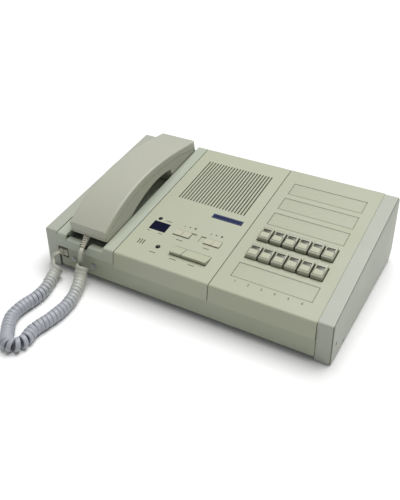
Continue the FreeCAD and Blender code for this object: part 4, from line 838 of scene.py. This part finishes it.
head_points = np.array([v.co for v in nodes["front_screws"].data.vertices]) / MM
head_face = head_points[:, 1].min()
on_face = head_points[head_points[:, 1] < head_face + ON_FACE]
screws = bpy.data.objects.new("crossed_screws", nodes["front_screws"].data.copy())
scene.collection.objects.link(screws)
cutters = []
for side in (on_face[:, 0] < on_face[:, 0].mean(), on_face[:, 0] > on_face[:, 0].mean()):
    low, high = on_face[side].min(axis=0), on_face[side].max(axis=0)
    centre = Vector(((low[0] + high[0]) / 2, head_face + RECESS_DEPTH, (low[2] + high[2]) / 2))
    cross = pad_mesh("recess", cross_outline(RECESS_HALF, RECESS_ARM), 2 * RECESS_DEPTH, 0)
    cross.transform(Matrix.Translation(centre * MM) @ FORWARD @ Matrix.Scale(MM, 4))
    cutters.append(bpy.data.objects.new("recess", cross))
    scene.collection.objects.link(cutters[-1])
    cut = screws.modifiers.new("recess", "BOOLEAN")
    cut.object = cutters[-1]
bpy.context.view_layer.update()
cut_mesh = bpy.data.meshes.new_from_object(screws.evaluated_get(bpy.context.evaluated_depsgraph_get()))
screws.modifiers.clear()
screws.data = cut_mesh
for cutter in cutters:
    bpy.data.objects.remove(cutter)
dress(screws, zinc_plate)
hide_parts("front_screws")
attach(screws, "case")
print("front screws:", len(cut_mesh.vertices), "vertices, heads at y", round(float(head_face), 2))

# %% [markdown]
# ## Rear corner of the base
# At its left end the base stops short of the end cap, to leave room for the cord's socket. At the rear
# a narrow upright piece in the base's shade closes that gap. It is a pad like the others, as high as
# the base's wall, but it is placed in the part's own frame instead of on the slope.

# %% Corner piece
BASE_LEFT, CAP_INNER, CASE_REAR = -164.95, -169.75, 111.85
BASE_LOW, BASE_HIGH = 6.4, 29.6
CORNER_T, CORNER_FROM_REAR = 2.4, 1.25
corner_w, corner_h = BASE_LEFT - CAP_INNER, BASE_HIGH - BASE_LOW
corner_foot = Vector(((BASE_LEFT + CAP_INNER) / 2, CASE_REAR - CORNER_FROM_REAR, BASE_LOW))
corner = pad_mesh("base_corner", rounded_outline(corner_w, CORNER_T, 0.1, 1), corner_h, 0)
corner.transform(Matrix.Translation(corner_foot * MM) @ Matrix.Scale(MM, 4))
base_corner = bpy.data.objects.new("base_corner", corner)
scene.collection.objects.link(base_corner)
dress(base_corner, base_abs)
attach(base_corner, "case")
print("corner piece", round(corner_w, 1), "mm wide,", round(corner_h, 1), "mm high")

# %% [markdown]
# ## Table
# The object stands on a plain white table with a matt finish. One large square is enough: its edges are
# so far away that they never show, and a matt white gives back light from below as a real table does.

# %% Table
TABLE_REACH = 12.0                  # metres from the middle to each edge
CLOUDS_MM = 400


def white_table():
    """Matt white finish with hardly visible broad clouds."""
    material, shader, place = new_material("white_table")
    cloud = add_node(material, "ShaderNodeTexNoise", Vector=place, Scale=per_mm(CLOUDS_MM), Detail=1.0)
    tint = add_node(material, "ShaderNodeMix", {"data_type": "RGBA"}, _0=cloud.outputs["Fac"],
                    _6=linear("f6f6f5"), _7=linear("f3f3f2"))
    link(material, tint.outputs[2], shader.inputs["Base Color"])
    shader.inputs["Roughness"].default_value = 0.9
    shader.inputs["Specular IOR Level"].default_value = 0.1
    return material


table_mesh = bpy.data.meshes.new("table_top")
corners = [(x * TABLE_REACH, y * TABLE_REACH, 0) for x, y in ((-1, -1), (1, -1), (1, 1), (-1, 1))]
table_mesh.from_pydata(corners, [], [(0, 1, 2, 3)])
table_top = bpy.data.objects.new("table_top", table_mesh)
scene.collection.objects.link(table_top)
dress(table_top, white_table())
print("table", 2 * TABLE_REACH, "m across")

# %% [markdown]
# ## Light
# One large soft light hangs high above the rear, in an even white surround. The tops are then
# brightest, the right side follows, the front faces fall into soft shade, and only a faint shadow
# gathers round the case. Several small lamps would each throw a shadow with an edge.

# %% Lights
LIGHT_PLACE = Vector((0.45, 2.0, 6.2))
LIGHT_SIZE, LIGHT_POWER = 5.0, 490.0
SURROUND_STRENGTH = 0.32
light = bpy.data.lights.new("overhead", "AREA")
light.shape = "SQUARE"
light.size = LIGHT_SIZE
light.energy = LIGHT_POWER
overhead = bpy.data.objects.new("overhead", light)
overhead.location = LIGHT_PLACE
overhead.rotation_euler = (-LIGHT_PLACE).to_track_quat("-Z", "Y").to_euler()
scene.collection.objects.link(overhead)
world = bpy.data.worlds.new("white_surround")
world.use_nodes = True
background = world.node_tree.nodes["Background"]
background.inputs["Color"].default_value = linear("fbfcff")
background.inputs["Strength"].default_value = SURROUND_STRENGTH
scene.world = world
scene.view_settings.view_transform = "Standard"

# %% [markdown]
# ## Finish
# The view layer is updated once more, now with every piece in it.

# %% Finish
bpy.context.view_layer.update()
